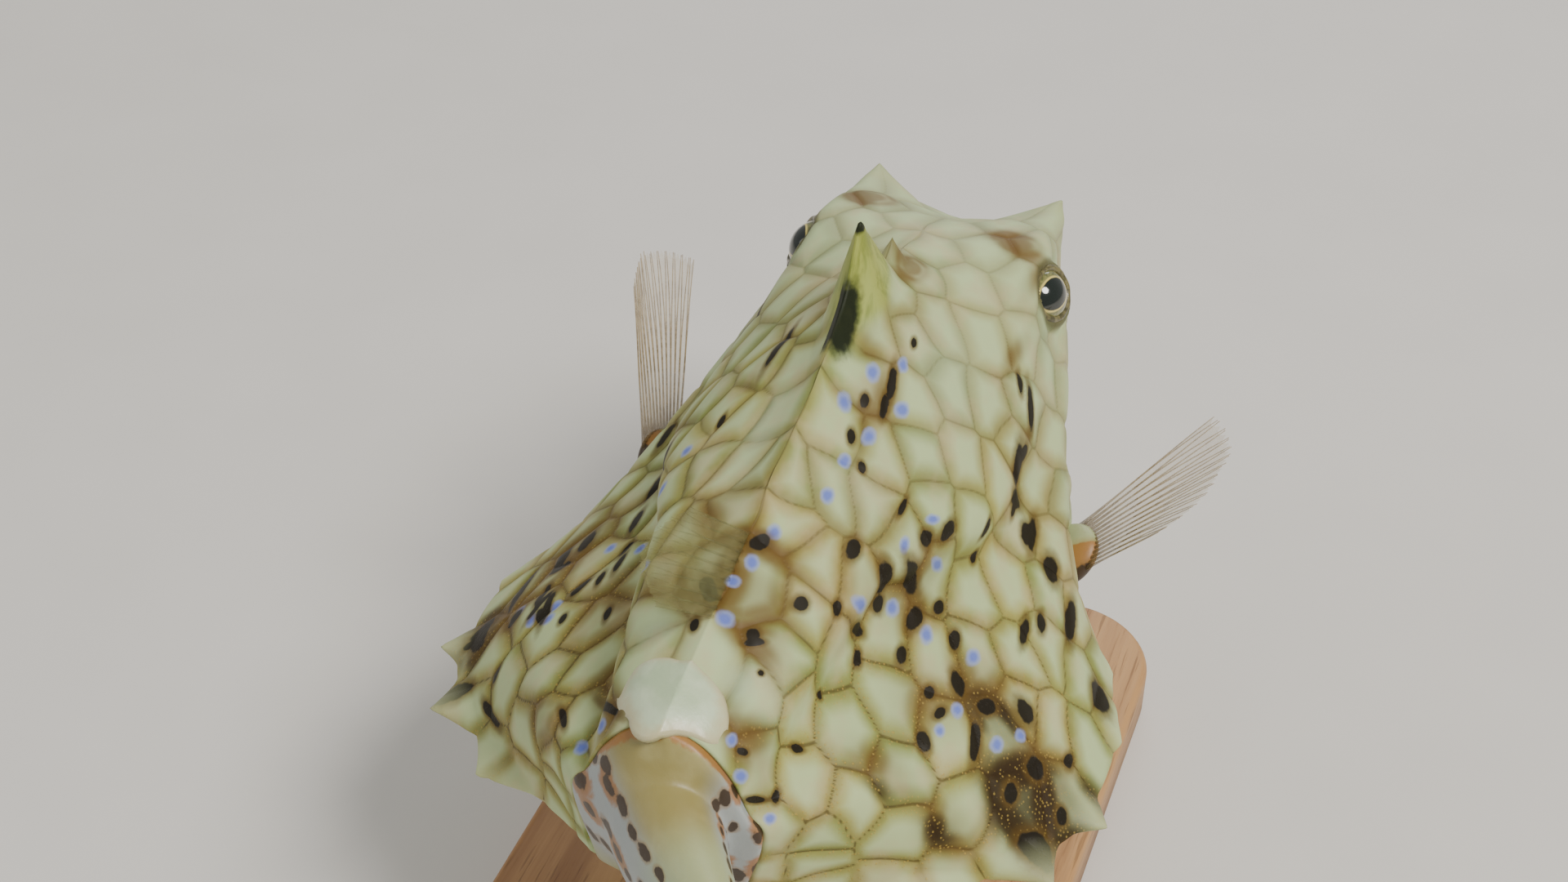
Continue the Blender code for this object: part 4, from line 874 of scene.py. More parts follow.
def soft_skin_material():
    """The tail's and the snout's soft skin: tan above, blue-grey sides, oval spots, and the mouth's
    inside painted dark as shade.
    """
    g = Graph("turretfish_soft_skin")
    place = g.place()
    fine = g.noise(place, 500.0, 4.0, 0.6)
    broad = g.noise(place, 90.0, 3.0, 0.6)
    fuzz = g.about_zero(g.noise(place, 900.0, 3.0), 0.7)
    colour = g.mix(g.step(broad, 0.38, 0.62), rgb(166, 156, 104), rgb(146, 134, 78))
    colour = g.mix(g.times(g.value("side"), 0.85), colour, rgb(158, 166, 170))
    colour = g.mix(g.times(g.value("pale"), 0.7, clamp=True), colour, rgb(172, 186, 142))
    orange = g.plus(g.value("orange"), fuzz)
    colour = g.paint(colour, rgb(156, 100, 38), orange, -0.1, 0.3, 0.0, 0.8)
    dark = g.plus(g.value("dark"), fuzz)
    colour = g.paint(colour, rgb(140, 104, 58), dark, -0.4, 0.05, 0.0, 0.5)
    colour = g.paint(colour, rgb(54, 38, 22), dark, 0.0, 0.22, 0.0, 0.95)
    g.set("Base Color", colour)
    g.set("Roughness", g.plus(g.times(fine, 0.25), 0.34))
    g.coat(0.10, 0.3)
    g.soften(0.10, (0.004, 0.002, 0.001))
    g.set("Normal", g.bump(fine, 0.00016, 0.6))
    return g.material


def shield_material():
    g = Graph("white_shield_plate")
    place = g.place()
    broad = g.noise(place, 120.0, 3.0, 0.6)
    fine = g.noise(place, 700.0, 4.0, 0.6)
    colour = g.mix(g.step(broad, 0.40, 0.66), rgb(198, 212, 178), rgb(178, 196, 158))
    rim = g.plus(g.value("rim"), g.times(fine, 0.3))
    colour = g.paint(colour, rgb(196, 180, 136), rim, 0.80, 1.15, 0.0, 0.75)
    g.set("Base Color", colour)
    g.set("Roughness", g.plus(g.times(fine, 0.2), 0.26))
    g.coat(0.15, 0.3)
    g.soften(0.12, (0.003, 0.003, 0.002))
    g.set("Normal", g.bump(fine, 0.00015, 0.6))
    return g.material


def ray_material(name, light, shade, alpha):
    """Fin rays in light and dark joints, browner towards the root."""
    g = Graph(name, 0.4)
    along = g.value("along")
    fine = g.noise(g.place(), 600.0, 3.0)
    bands = g.math("SINE", g.times(along, 120.0))
    colour = g.mix(g.step(fine, 0.4, 0.65), light, shade)
    colour = g.paint(colour, light, bands, 0.2, 0.9, 0.0, 0.35)
    colour = g.paint(colour, rgb(112, 84, 48), along, 0.0, 0.3, 0.55, 0.0)
    g.set("Base Color", colour)
    g.set("Alpha", alpha)
    g.set("Normal", g.bump(fine, 0.0001, 0.5))
    return g.material


def membrane_material(name, light, shade, alpha):
    g = Graph(name, 0.3)
    fine = g.noise(g.place(), 300.0, 4.0, 0.6)
    g.set("Base Color", g.mix(g.step(fine, 0.38, 0.65), light, shade))
    g.set("Alpha", alpha)
    g.set("Normal", g.bump(fine, 0.0001, 0.4))
    return g.material


def eye_material():
    """Rings about the eye's own Z axis: pupil, gold ring, mottled iris and dark white."""
    g = Graph("turretfish_eye", 0.12)
    place = g.place()
    parts = g.node("ShaderNodeSeparateXYZ", {0: place}, 0).node
    x = g.math("DIVIDE", parts.outputs[0], PUPIL_HALF[0])
    y = g.math("DIVIDE", parts.outputs[1], PUPIL_HALF[1])
    fine = g.noise(place, 1400.0, 3.0, 0.6)
    out = g.math("SQRT", g.plus(g.times(x, x), g.times(y, y)))
    out = g.plus(out, g.about_zero(fine, 0.05))
    colour = g.mix(g.step(fine, 0.35, 0.65), rgb(92, 96, 52), rgb(134, 132, 78))
    colour = g.paint(colour, rgb(58, 60, 40), out, 1.35, 1.9, 0.0, 0.8)
    colour = g.paint(colour, rgb(214, 196, 110), out, 1.05, 1.16, 1.0, 0.0)
    colour = g.paint(colour, rgb(16, 26, 20), out, 0.96, 1.02, 1.0, 0.0)
    g.set("Base Color", colour)
    g.coat(1.0, 0.03)
    return g.material


def lid_material():
    g = Graph("eye_rim", 0.35)
    fine = g.noise(g.place(), 900.0, 4.0, 0.6)
    g.set("Base Color", g.mix(g.step(fine, 0.35, 0.65), rgb(70, 66, 40), rgb(120, 112, 70)))
    g.set("Coat Weight", 0.3)
    g.set("Normal", g.bump(fine, 0.00012, 0.6))
    return g.material


def oak_material():
    g = Graph("oiled_oak")
    place = g.place()
    rings = g.noise(g.stretched(place, 60.0, 5.0, 60.0), 1.6, 6.0, 0.62, 0.5)
    pores = g.noise(g.stretched(place, 1600.0, 70.0, 1600.0), 1.0, 3.0, 0.6)
    colour = g.mix(g.step(rings, 0.34, 0.66), rgb(186, 142, 92), rgb(146, 102, 60))
    g.set("Base Color", g.paint(colour, rgb(92, 60, 34), pores, 0.56, 0.70, 0.0, 0.5))
    g.set("Roughness", g.plus(g.times(pores, 0.25), 0.36))
    g.set("Normal", g.bump(pores, 0.0001, 0.5))
    return g.material


def steel_material():
    g = Graph("brushed_rod_steel")
    brushed = g.noise(g.stretched(g.place(), 60.0, 60.0, 4000.0), 1.0, 2.0)
    g.set("Base Color", g.mix(brushed, rgb(176, 176, 174), rgb(204, 204, 202)))
    g.set("Metallic", 1.0)
    g.set("Roughness", g.plus(g.times(brushed, 0.18), 0.22))
    g.set("Normal", g.bump(brushed, 0.00005, 0.4))
    return g.material


def floor_material():
    g = Graph("pale_floor", 0.75)
    fine = g.noise(g.place(), 30.0, 3.0)
    g.set("Base Color", g.mix(fine, rgb(212, 208, 202), rgb(220, 216, 210)))
    return g.material


def basis(axis, hint):
    """Unit vectors whose third is the axis and whose first lies near the hint."""
    z = unit(axis)
    y = unit(np.cross(z, hint))
    return np.stack([np.cross(y, z), y, z])


def angles(count):
    return np.arange(count) * 2 * np.pi / count


def make_eyes(eye_look, lid_look):
    for name, side in (("left", 1), ("right", -1)):
        mirror = (side, 1, 1)
        axes = basis(EYE_AXIS * mirror, np.array((0.0, 1.0, 0.0)))
        look_axes = basis(GAZE * mirror, np.array((0.0, 1.0, 0.0)))
        polar = np.linspace(0.0, np.pi, 41)[:, None]
        turn = angles(64)[None, :]
        swell = 1.0 + CORNEA_SWELL * bump(polar, 0.0, CORNEA_HALF)
        ball = EYE_RADIUS * swell[..., None] * np.stack(
            [np.sin(polar) * np.cos(turn), np.sin(polar) * np.sin(turn),
             np.cos(polar) + 0 * turn], axis=-1)
        mesh = grid_mesh(f"eye_{name}_ball", ball)
        piece = add_piece(f"eye_{name}_ball", mesh, eye_look, (f"eye_{name}",))
        matrix = Matrix(look_axes.T.tolist()).to_4x4()
        matrix.translation = Vector(EYE * mirror + FISH_OFFSET)
        piece.matrix_world = matrix
        # the lid is a soft roll that lies on the eyeball round its opening
        section = angles(14)[:, None]
        out = LID_OUT + LID_HALF[0] * np.cos(section) + 0.0002 * np.cos(2 * turn)
        up = ORBIT_PLANE + 0.00008 + LID_HALF[1] * np.sin(section) + 0.00006 * np.cos(9 * turn)
        ring = np.stack([out * np.cos(turn), out * np.sin(turn), up + 0 * turn], axis=-1)
        ring = np.concatenate([ring, ring[:1]])
        world = ring @ axes + EYE * mirror + FISH_OFFSET
        add_piece(f"eye_{name}_rim", grid_mesh(f"eye_{name}_rim", world), lid_look)


# The snout's outline in mm: distance from the shell and half width, from inside the shell
# over the lips and back into the mouth
SNOUT_PROFILE = np.array((
    (-3.0, 5.4), (0.0, 5.6), (2.2, 5.2), (4.2, 4.3), (5.6, 3.75), (6.2, 3.6), (6.7, 3.75),
    (7.3, 3.70), (7.75, 3.2), (7.9, 2.5), (7.7, 1.9), (7.2, 1.5), (6.2, 1.2), (4.5, 1.0)))
SNOUT_RINGS = 60
SNOUT_WIDE = 0.95                  # half width and half height, as shares of the outline
SNOUT_TALL = 0.80
MOUTH_FLATTENING = 0.62
SNOUT_DROP = 0.18                  # how much it sinks towards the lips, as a slope
SNOUT_FIT = 0.975                  # its root against the shell's rim
FLARE_REACH = (-0.0005, 0.0042)
MOUTH_CORNER = 0.0009              # how far its corners lie behind the lips' middle
LIP_CREASE = 0.02
LIP_CREASES = 14


def shell_rim(station, turn, centre):
    """Distance from a centre to one of the shell's two open rims, at each angle."""
    rim, _ = shell(np.array([station]), np.linspace(-HALF_ROWS, HALF_ROWS, 400))
    x, z = rim[0, :, 0] - centre[0], rim[0, :, 2] - centre[2]
    at = np.arctan2(z, x)
    order = np.argsort(at)
    return np.interp(turn, at[order], np.hypot(x, z)[order], period=2 * np.pi)


def make_snout(look):
    """A snout that flares at its root to meet the shell, and lips that turn into the mouth."""
    knots = np.arange(len(SNOUT_PROFILE))
    fine = np.linspace(0, knots[-1], SNOUT_RINGS)
    along, out = (np.interp(fine, knots, values) for values in SNOUT_PROFILE.T)
    kernel = np.array((0.25, 0.5, 0.25))
    for _ in range(6):
        along[1:-1] = np.convolve(along, kernel, "same")[1:-1]
        out[1:-1] = np.convolve(out, kernel, "same")[1:-1]
    turn = angles(72)[None, :]
    reach, out = along[:, None] * MM, out[:, None] * MM
    ring = np.arange(float(SNOUT_RINGS))[:, None]
    wide, tall = SNOUT_WIDE, SNOUT_TALL * (1 - MOUTH_FLATTENING * smooth(42, 52, ring))
    middle = (crest_up(SHELL_FRONT) + belly_up(SHELL_FRONT)) / 2
    rim = shell_rim(SHELL_FRONT, turn, (0.0, 0.0, middle))
    own = out * np.hypot(wide * np.cos(turn), tall * np.sin(turn))
    at_root = 1 - smooth(*FLARE_REACH, reach)
    out = out * (1 + at_root * (SNOUT_FIT * rim / own - 1))
    corner = MOUTH_CORNER * np.cos(turn) ** 2 * smooth(26, 40, ring)
    crease = 1 + LIP_CREASE * np.cos(LIP_CREASES * turn) * smooth(24, 34, ring)
    sunk = middle - SNOUT_DROP * reach * (1 - at_root)
    points = np.stack([wide * out * np.cos(turn), SHELL_FRONT - GAP - reach + corner,
                       sunk + tall * out * np.sin(turn) * crease], axis=-1)
    # the inside of the mouth is painted dark, as shade in its opening
    inner = smooth(44, 50, ring) + 0 * turn
    masks = {"dark": 1.6 * inner - 0.8, "orange": 0 * inner - 1, "side": 0 * inner,
             "pale": 1.1 * (1 - inner)}
    mesh = grid_mesh("snout_and_lips", points + FISH_OFFSET, masks)
    add_piece("snout_and_lips", mesh, look, ("mouth",))


# How steeply the back falls beyond its shoulders and behind the shell's end
SIDE_SLOPE = 1.1
REAR_SLOPE = 0.16


def roof_height(out, station):
    """Height of the back beside its crest, carried on past the shell's end."""
    inside = np.minimum(station, SHELL_REAR - 0.002)
    flank, _ = half_sections(inside.reshape(-1))
    flat_out = np.abs(out).reshape(-1)
    up = np.empty_like(flat_out)
    shoulder = shoulder_out(inside.reshape(-1))
    for i, reach in enumerate(flat_out):
        top = np.argmax(flank[:, i, 0] > shoulder[i])
        beyond = max(reach - flank[top, i, 0], 0.0)
        on_back = np.interp(reach, flank[:top + 1, i, 0], flank[:top + 1, i, 1])
        up[i] = on_back - SIDE_SLOPE * beyond
    return up.reshape(out.shape) - REAR_SLOPE * (station - inside)


# The white shield's rim round its middle, as degrees from the fish's left and radii in mm
SHIELD_MIDDLE = (0.0008, 0.1492)
SHIELD_RIM = np.array((
    (-33, 9.8), (-15, 9.4), (0, 8.4), (20, 6.9), (40, 6.2), (60, 7.2), (83, 8.0), (98, 7.0),
    (115, 5.9), (135, 6.4), (150, 8.2), (165, 8.6), (185, 7.8), (215, 6.2), (240, 5.2),
    (284, 5.2), (306, 7.0)))
# Its hidden skirt as shares of the radius and heights, its dome, and how far it lies off the skin
SHIELD_SKIRT = ((0.88, -0.0017), (0.97, -0.0008))
SHIELD_DOME = 0.0010
SHIELD_LIFT = 0.0001


def make_shield(look):
    """A smooth, slightly domed white plate whose lobed rear overhangs the tail."""
    degrees, radii = SHIELD_RIM.T
    turn = angles(144)
    radius = np.interp(np.degrees(turn), degrees, radii, period=360)
    for _ in range(8):
        radius = (np.roll(radius, 1) + 2 * radius + np.roll(radius, -1)) / 4
    level = np.linspace(1.0, 0.0, 18)
    skirt, sunk = zip(*SHIELD_SKIRT)
    ratio = np.concatenate([skirt, level])[:, None]
    lift = np.concatenate([sunk, SHIELD_DOME * (1 - level ** 4.0) + SHIELD_LIFT])[:, None]
    reach = ratio * radius * MM
    x = SHIELD_MIDDLE[0] + reach * np.cos(turn)
    y = SHIELD_MIDDLE[1] + reach * np.sin(turn)
    z = roof_height(x, y) + lift
    mesh = grid_mesh("tail_shield", np.stack([x, y, z], axis=-1) + FISH_OFFSET,
                     {"rim": ratio + 0 * turn})
    add_piece("tail_shield", mesh, look)


TAIL_ROOT = np.array((0.0015, SHELL_REAR + GAP, 0.0295))
TAIL_MIDDLE = np.array((-0.0068, 0.1655, 0.0290))
TAIL_END = np.array((-0.0250, 0.1845, 0.0300))
TAIL_ROOT_RADII = (0.0102, 0.0115)
TAIL_END_RADII = (0.0026, 0.0068)
TAIL_FLARE = 0.20                  # how far the root's flare reaches, as a share of the tail
TAIL_TURNED = 0.45                 # where its rings are fully turned with the bend
TAIL_TAPER = 0.8
TAIL_FIT = 0.97                    # its root against the shell's rear opening
TAIL_HIDDEN = 0.030                # how deep a whole length would reach into the shell
TAIL_LENGTH = 0.040
# Rows of oval spots: the angle round the tail and where the row begins along it
TAIL_SPOT_ROWS = ((0.62, -0.02), (0.12, 0.02), (-0.45, 0.0), (np.pi - 0.62, 0.01),
                  (np.pi - 0.12, -0.02), (np.pi + 0.45, 0.03))
TAIL_SPOTS_IN_ROW = 13
TAIL_SPOT_STEP = 0.082
TAIL_SPOT_STRETCH = 1.75
HALO_SHARE = 0.45
HALO_SIZE = 1.9


def tail_frame(t):
    """Centre, sideways direction and radii of the tail at a fraction of its length."""
    centre = (1 - t) ** 2 * TAIL_ROOT + 2 * t * (1 - t) * TAIL_MIDDLE + t * t * TAIL_END
    if t < 0:
        centre = TAIL_ROOT + t * np.array((0.0, TAIL_HIDDEN, 0.0))
    heading = (1 - t) * (TAIL_MIDDLE - TAIL_ROOT) + t * (TAIL_END - TAIL_MIDDLE)
    sideways = np.cross(unit(heading * (1, 1, 0)), (0.0, 0.0, 1.0))
    # the root's first rings stand square to the shell's opening
    turned = smooth(0.0, TAIL_TURNED, t)
    sideways = unit((1 - turned) * np.array((1.0, 0.0, 0.0)) + turned * sideways)
    ease = max(t, 0.0) ** TAIL_TAPER
    wide, tall = (a + (b - a) * ease for a, b in zip(TAIL_ROOT_RADII, TAIL_END_RADII))
    return centre, sideways, wide, tall


def make_tail(look):
    """The tail's stem from inside the shell to its closed end, with rows of spots."""
    random = np.random.default_rng(SEED + 2)
    lengths = np.linspace(-0.12, 1.0, 130)
    turn = angles(120)
    rings = []
    mouth = shell_rim(SHELL_REAR, turn, TAIL_ROOT)
    for t in lengths:
        centre, sideways, wide, tall = tail_frame(t)
        round_tail = np.hypot(wide * np.cos(turn), tall * np.sin(turn))
        flare = 1 - smooth(0.0, TAIL_FLARE, t)
        grow = 1 + flare * (TAIL_FIT * mouth / round_tail - 1)
        ring = centre + (grow * wide * np.cos(turn))[:, None] * sideways
        ring[:, 2] += grow * tall * np.sin(turn)
        rings.append(ring)
    centre = rings[-1].mean(axis=0)
    for shrink in (0.8, 0.4, 0.05):
        rings.append(centre + (rings[-1] - centre) * shrink + (-0.0001, 0.0001, 0))
    points = np.stack(rings)
    t = np.concatenate([lengths, [1.0, 1.0, 1.0]])[:, None]
    upright = np.sin(turn)[None, :]
    dark = np.full(points.shape[:2], -1.0)
    orange = dark.copy()
    # rows of ovals along both sides, some in orange halos
    for middle, start in TAIL_SPOT_ROWS:
        for number in range(TAIL_SPOTS_IN_ROW):
            spot_t = start + TAIL_SPOT_STEP * number + random.uniform(-0.018, 0.018)
            spot_turn = middle + random.uniform(-0.12, 0.12)
            swing = np.angle(np.exp(1j * (turn[None, :] - spot_turn))) * (0.0108 - 0.006 * spot_t)
            size = random.uniform(0.75, 1.1) * (1.0 - 0.35 * spot_t) * MM
            along = (t - spot_t) * TAIL_LENGTH / (TAIL_SPOT_STRETCH * size)
            away = np.hypot(along, swing / size)
            np.maximum(dark, 1 - away, out=dark)
            if random.random() < HALO_SHARE:
                np.maximum(orange, 1 - away / HALO_SIZE, out=orange)
    np.maximum(orange, 0.9 - np.abs(t) / 0.06 - 1.2 * (1 - upright), out=orange)
    masks = {
        "dark": dark, "orange": orange,
        "side": (1 - smooth(0.50, 0.90, upright)) * smooth(-0.95, -0.5, upright) + 0 * t,
        "pale": smooth(0.30, 0.55, t) * smooth(0.0, 0.6, upright) * 0.9
        + (1 - smooth(-0.9, -0.5, upright)) * 0.6,
    }
    mesh = grid_mesh("tail_skin", points + FISH_OFFSET, masks)
    add_piece("tail_skin", mesh, look, ("tail_peduncle",))


RAY_SIDES = 6
RAY_RADIUS = 0.00019
FORK_START = 0.45                  # how far out a ray forks, as a share of its length
FORK_SPREAD = 0.42                 # of a ray's two tips, in rays
RAY_SHORTENING = 0.03              # by chance at most, as a share of a ray's length
FIN_FLUTTER = 0.00045
MEMBRANE_HALF = 0.00008
# How far the membrane's edge stays behind the rays' tips, and more between them, as shares
MEMBRANE_SHORT = 0.015
SCALLOP = 0.035

Fin = namedtuple("Fin", "root_start root_end tips bow")


def tube(path, radii, across):
    """A tapering tube along a path, closed by a point at each end."""
    heading = unit(np.gradient(path, axis=0))
    side = unit(np.cross(heading, across))
    normal = np.cross(side, heading)
    turn = angles(RAY_SIDES)[None, :, None]
    rings = path[:, None] + radii[:, None, None] * (
        np.cos(turn) * side[:, None] + np.sin(turn) * normal[:, None])
    first, last = (np.repeat(path[None, [i]], RAY_SIDES, axis=1) for i in (0, -1))
    return np.concatenate([first, rings, last])


def fin_axes(fin):
    """The root's middle and ends, and the directions along the root and across the fin."""
    start, end = np.array(fin.root_start, float), np.array(fin.root_end, float)
    along = unit(end - start)
    root_middle = (start + end) / 2
    return start, end, root_middle, along, unit(np.cross(along, fin.tips[1] - root_middle))


def make_fin(name, fin, rays, ray_look, membrane_look):
    """Forked rays as one piece, and the thin membrane between them as another."""
    random = np.random.default_rng(SEED + len(name))
    start, end, _, _, across = fin_axes(fin)
    first, middle, last = (np.array(tip, float) for tip in fin.tips)

    def place(s, t):
        """A point of the fin's middle sheet, s along its root and t out to its tips."""
        s, t = np.broadcast_arrays(s, t)
        root = start + (end - start) * s[..., None]
        tip = ((1 - s) ** 2)[..., None] * first + (2 * s * (1 - s))[..., None] * middle \
            + (s * s)[..., None] * last
        bow = fin.bow * np.sin(np.pi * s) * t * t
        flutter = FIN_FLUTTER * np.sin(9.0 * s + 3.0 * t) * t * t
        return root + (tip - root) * t[..., None] + (bow + flutter)[..., None] * across

    grids = []
    t = np.linspace(0.0, 1.0, 22)
    for ray in range(rays):
        s = ray / (rays - 1)
        reach = 1.0 - RAY_SHORTENING * random.random()
        for branch in (-1, 1):
            fork = np.clip((t - FORK_START) / (1 - FORK_START), 0, 1) * FORK_SPREAD * branch
            path = place(np.clip(s + fork / (rays - 1), 0, 1), t * reach)
            radii = RAY_RADIUS * (1 - 0.6 * t) * (1 + 1.2 * np.exp(-t / 0.12))
            grids.append(tube(path, radii, across) + FISH_OFFSET)
    level = np.concatenate([[0.0], t, [1.0]])[None, :, None]
    masks = {"along": level + np.zeros((len(grids), 1, RAY_SIDES))}
    mesh = grids_mesh(f"{name}_rays", grids, masks)
    add_piece(f"{name}_rays", mesh, ray_look, (name,))

    s = np.linspace(0.0, 1.0, 12 * (rays - 1) + 1)[None, :]
    t = np.linspace(0.0, 1.0, 24)[:, None]
    scallop = 1.0 - SCALLOP * np.abs(np.sin(np.pi * s * (rays - 1))) - MEMBRANE_SHORT
    sheet = place(s + 0 * t, t * scallop) + FISH_OFFSET
    front, back = sheet + MEMBRANE_HALF * across, sheet - MEMBRANE_HALF * across
    mesh = grid_mesh(f"{name}_membrane", np.concatenate([front, back[:, ::-1]], axis=1))
    add_piece(f"{name}_membrane", mesh, membrane_look)


PECTORAL_TIPS = {
    1: ((0.0383, 0.0479, 0.0451), (0.0455, 0.0492, 0.0500), (0.0440, 0.0613, 0.0473)),
    -1: ((-0.0532, 0.0518, 0.0392), (-0.0605, 0.0638, 0.0424), (-0.0504, 0.0775, 0.0345)),
}
PECTORAL_ROOT_HALF = 0.0042
PECTORAL_BOW = 0.0022


def pectoral(side):
    root = np.array((0.0372 * side, 0.0665, 0.0185))
    tips = PECTORAL_TIPS[side]
    out = unit(np.array(tips[1]) - root)
    along = np.array((0.0, 0.82, -0.57))
    along = unit(along - out * (along @ out))
    half = PECTORAL_ROOT_HALF * along
    return Fin(root - half, root + half, tips, PECTORAL_BOW * side)


def caudal():
    """The tail fin, upright at the stem's end and bent on in the same turn."""
    heading = unit(TAIL_END - TAIL_MIDDLE)
    root = TAIL_END + GAP * heading
    up = np.array((0.0, 0.0, 1.0))
    sweep = np.array((-0.0040, 0.0, 0.0))
    edge, middle = root + 0.0288 * heading + sweep, root + 0.04392 * heading + sweep
    return Fin(root - 0.0058 * up, root + 0.0058 * up,
               (edge - 0.0165 * up, middle, edge + 0.0165 * up), 0.0012)


DORSAL_FIN = Fin((0.0, 0.1225, 0.0541), (0.0, 0.1370, 0.0506),
                 ((0.0055, 0.1310, 0.0640), (0.0105, 0.1430, 0.0665), (0.0045, 0.1465, 0.0590)),
                 0.0010)
ANAL_FIN = Fin((-0.0006, 0.1575, 0.0165), (-0.0100, 0.1690, 0.0178),
               ((-0.0030, 0.1645, 0.0025), (-0.0090, 0.1760, -0.0040), (-0.0140, 0.1815, 0.0120)),
               0.0010)

ROOT_OVERHANG = 1.28               # a pad's length against the fin's root
ROOT_SINK = 0.55                   # how much of a pad's half depth lies behind the root


def make_root(name, fin, half_across, deep, look, tones):
    """The fleshy pad at a fin's root, whose tones go by the place along the root."""
    start, end, middle, along, across = fin_axes(fin)
    out = np.cross(across, along)
    half = np.linalg.norm(end - start) / 2
    polar = np.linspace(0.02, np.pi - 0.02, 28)[:, None]
    turn = angles(40)[None, :]
    height = np.cos(polar) + 0 * turn
    level = np.sin(polar) * np.cos(turn)
    shape = (level * half * ROOT_OVERHANG, np.sin(polar) * np.sin(turn) * half_across,
             height * deep)
    centre = middle - deep * ROOT_SINK * out
    points = centre + sum(part[..., None] * axis
                          for part, axis in zip(shape, (along, across, out)))
    masks = {key: tones[key](level) if key in tones else other + 0 * level
             for key, other in (("dark", -1.0), ("orange", -1.0), ("side", 0.0), ("pale", 0.0))}
    add_piece(name, grid_mesh(name, points + FISH_OFFSET, masks), look)


def make_fins(looks, dorsal_looks, soft_look):
    for name, fin, rays in (("pectoral_fin_left", pectoral(1), 13),
                            ("pectoral_fin_right", pectoral(-1), 13),
                            ("dorsal_fin", DORSAL_FIN, 10), ("anal_fin", ANAL_FIN, 10),
                            ("caudal_fin", caudal(), 11)):
        make_fin(name, fin, rays, *(dorsal_looks if fin is DORSAL_FIN else looks))
    for side, name in ((1, "left"), (-1, "right")):
        make_root(f"pectoral_root_{name}", pectoral(side), 0.0028, 0.0062, soft_look,
                  {"pale": lambda v: 1.0 - smooth(-0.15, 0.15, v),
                   "orange": lambda v: 1.3 * smooth(-0.05, 0.25, v) - 0.6,
                   "dark": lambda v: 1.2 * smooth(0.3, 0.9, v) - 0.85})
    make_root("anal_root", ANAL_FIN, 0.0022, 0.0040, soft_look, {"pale": lambda v: 0.4 + 0 * v})


def lathe(name, profile, centre):
    """A turned solid from (radius, height) points, closed at both ends."""
    radii, heights = np.array(profile, float).T
    turn = angles(56)[None, :]
    points = np.stack([radii[:, None] * np.cos(turn), radii[:, None] * np.sin(turn),
                       heights[:, None] + 0 * turn], axis=-1) + np.array(centre)
    return grid_mesh(name, points)


BASE_LENGTH = 0.130
BASE_WIDTH = 0.092
BASE_HEIGHT = 0.010
BASE_CORNER = 0.016
BASE_EDGE = 0.0015
ROD_RADIUS = 0.0022
ROD_PAD_RADIUS = 0.0055
ROD_PAD_HEIGHT = 0.0016
ROD_FLAT_DEPTH = 0.0011
ROD_SINK = 0.004
ROD_STATIONS = {"front": 0.062, "rear": 0.104}


def make_stand(oak, steel):
    half = np.array((BASE_WIDTH, BASE_LENGTH)) / 2 - BASE_CORNER
    core = np.repeat(half * ((1, 1), (-1, 1), (-1, -1), (1, -1)), 17, axis=0)
    angle = np.radians([start + 90 * step / 16 for start in (0, 90, 180, 270)
                        for step in range(17)])
    spoke = np.stack([np.cos(angle), np.sin(angle)], axis=-1)
    rounded = np.linspace(0.0, np.pi / 2, 8)
    inset = np.concatenate([[1.0, BASE_EDGE * 0.4, 0.0], BASE_EDGE * (1 - np.cos(rounded)), [1.0]])
    level = np.concatenate([[0.0, 0.0, BASE_EDGE * 0.4],
                            BASE_HEIGHT - BASE_EDGE + BASE_EDGE * np.sin(rounded), [BASE_HEIGHT]])
    rings = []
    for cut, up in zip(inset, level):
        # the first and the last ring shrink to the middle and close the base
        flat = 0.0 * core if cut == 1.0 else core + (BASE_CORNER - cut) * spoke
        rings.append(np.column_stack([flat, np.full(len(flat), up)]))
    mesh = grid_mesh("stand_base_oak", np.stack(rings))
    add_piece("stand_base_oak", mesh, oak, ("stand_base",))
    for name, station in ROD_STATIONS.items():
        y = station + FISH_OFFSET[1]
        head = FISH_OFFSET[2] + float(belly_up(station)) + ROD_FLAT_DEPTH - GAP
        foot, pad = BASE_HEIGHT - ROD_SINK, head - ROD_PAD_HEIGHT
        r, p = ROD_RADIUS, ROD_PAD_RADIUS
        profile = ((0, foot), (r, foot), (r, BASE_HEIGHT), (r, pad - 0.0010),
                   (r + 0.0006, pad - 0.0002), (p - 0.0004, pad), (p, pad + 0.0004),
                   (p, head - 0.0003), (p - 0.0003, head), (0, head))
        mesh = lathe(f"stand_rod_{name}_steel", profile, (0.0, y, 0.0))
        add_piece(f"stand_rod_{name}_steel", mesh, steel, (f"stand_rod_{name}",))


FLOOR_HALF = 3.0


def make_floor(look):
    mesh = bpy.data.meshes.new("floor")
    corners = [(x * FLOOR_HALF, y * FLOOR_HALF, 0) for x, y in ((-1, -1), (1, -1), (1, 1), (-1, 1))]
    mesh.from_pydata(corners, [], [(0, 1, 2, 3)])
    mesh.materials.append(look)
    floor = bpy.data.objects.new("floor", mesh)
    bpy.context.scene.collection.objects.link(floor)


LIT_POINT = Vector((0.0, 0.0, 0.08))
# Name, place, size, watts and colour of each round lamp
LAMPS = (
    ("key", (-0.70, 0.30, 1.05), 0.5, 17.0, (1.0, 0.97, 0.92)),
    ("fill", (0.9, 0.5, 0.7), 0.9, 3.0, (0.95, 0.98, 1.0)),
    ("front", (0.2, -1.1, 0.7), 0.9, 5.0, (1.0, 1.0, 1.0)),
)
SKY_COLOUR = (0.90, 0.90, 0.88, 1.0)
SKY_STRENGTH = 0.36


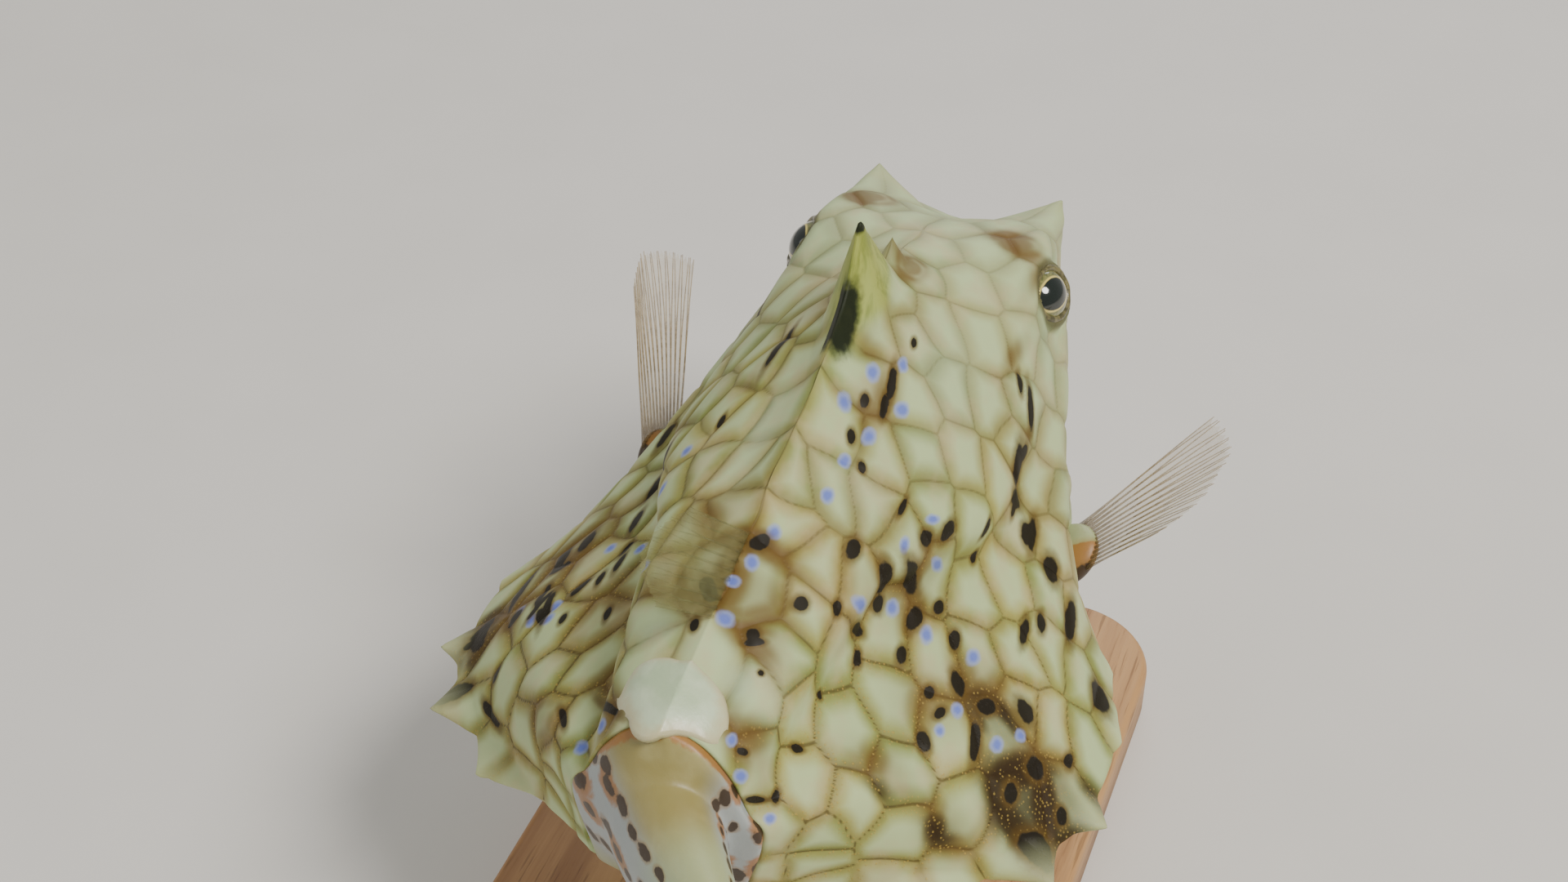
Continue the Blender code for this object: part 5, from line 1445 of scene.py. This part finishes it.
def make_lights():
    for name, place, size, power, colour in LAMPS:
        data = bpy.data.lights.new(name, "AREA")
        data.shape, data.size, data.energy, data.color = "DISK", size, power, colour
        light = bpy.data.objects.new(name, data)
        light.location = place
        light.rotation_euler = (LIT_POINT - Vector(place)).to_track_quat("-Z", "Y").to_euler()
        bpy.context.scene.collection.objects.link(light)
    world = bpy.data.worlds.new("soft_sky")
    world.use_nodes = True
    background = world.node_tree.nodes["Background"]
    background.inputs["Color"].default_value = SKY_COLOUR
    background.inputs["Strength"].default_value = SKY_STRENGTH
    bpy.context.scene.world = world


# The photo's camera: its place, where it looks in radians, and its lens in mm
CAMERA_PLACE = (-0.0904375, 0.2804711, 0.3184448)
CAMERA_AZIMUTH = 3.4814514
CAMERA_ELEVATION = 0.6629651
CAMERA_ROLL = 0.0183291
CAMERA_LENS = 55.156


def make_camera():
    azimuth, elevation = CAMERA_AZIMUTH, CAMERA_ELEVATION
    back = Vector((math.sin(azimuth) * math.cos(elevation),
                   -math.cos(azimuth) * math.cos(elevation), math.sin(elevation)))
    right = (-back).cross(Vector((0.0, 0.0, 1.0))).normalized()
    up = right.cross(-back)
    cos, sin = math.cos(CAMERA_ROLL), math.sin(CAMERA_ROLL)
    matrix = Matrix((cos * right + sin * up, cos * up - sin * right, back)).transposed().to_4x4()
    matrix.translation = Vector(CAMERA_PLACE)
    data = bpy.data.cameras.new("camera")
    data.lens = CAMERA_LENS
    data.sensor_width = 36.0
    data.clip_start = 0.01
    camera = bpy.data.objects.new("camera", data)
    camera.matrix_world = matrix
    bpy.context.scene.collection.objects.link(camera)
    bpy.context.scene.camera = camera


def main():
    make_camera()
    soft_look = soft_skin_material()
    make_skin(skin_material())
    make_eyes(eye_material(), lid_material())
    make_snout(soft_look)
    make_shield(shield_material())
    make_tail(soft_look)
    looks = (ray_material("fin_ray", rgb(188, 166, 126), rgb(158, 134, 96), 0.5),
             membrane_material("fin_membrane", rgb(206, 190, 158), rgb(182, 160, 122), 0.16))
    dorsal_looks = (
        ray_material("dorsal_ray", rgb(140, 140, 92), rgb(112, 110, 64), 0.15),
        membrane_material("dorsal_membrane", rgb(132, 132, 84), rgb(108, 104, 60), 0.24))
    make_fins(looks, dorsal_looks, soft_look)
    make_stand(oak_material(), steel_material())
    make_floor(floor_material())
    make_lights()


main()
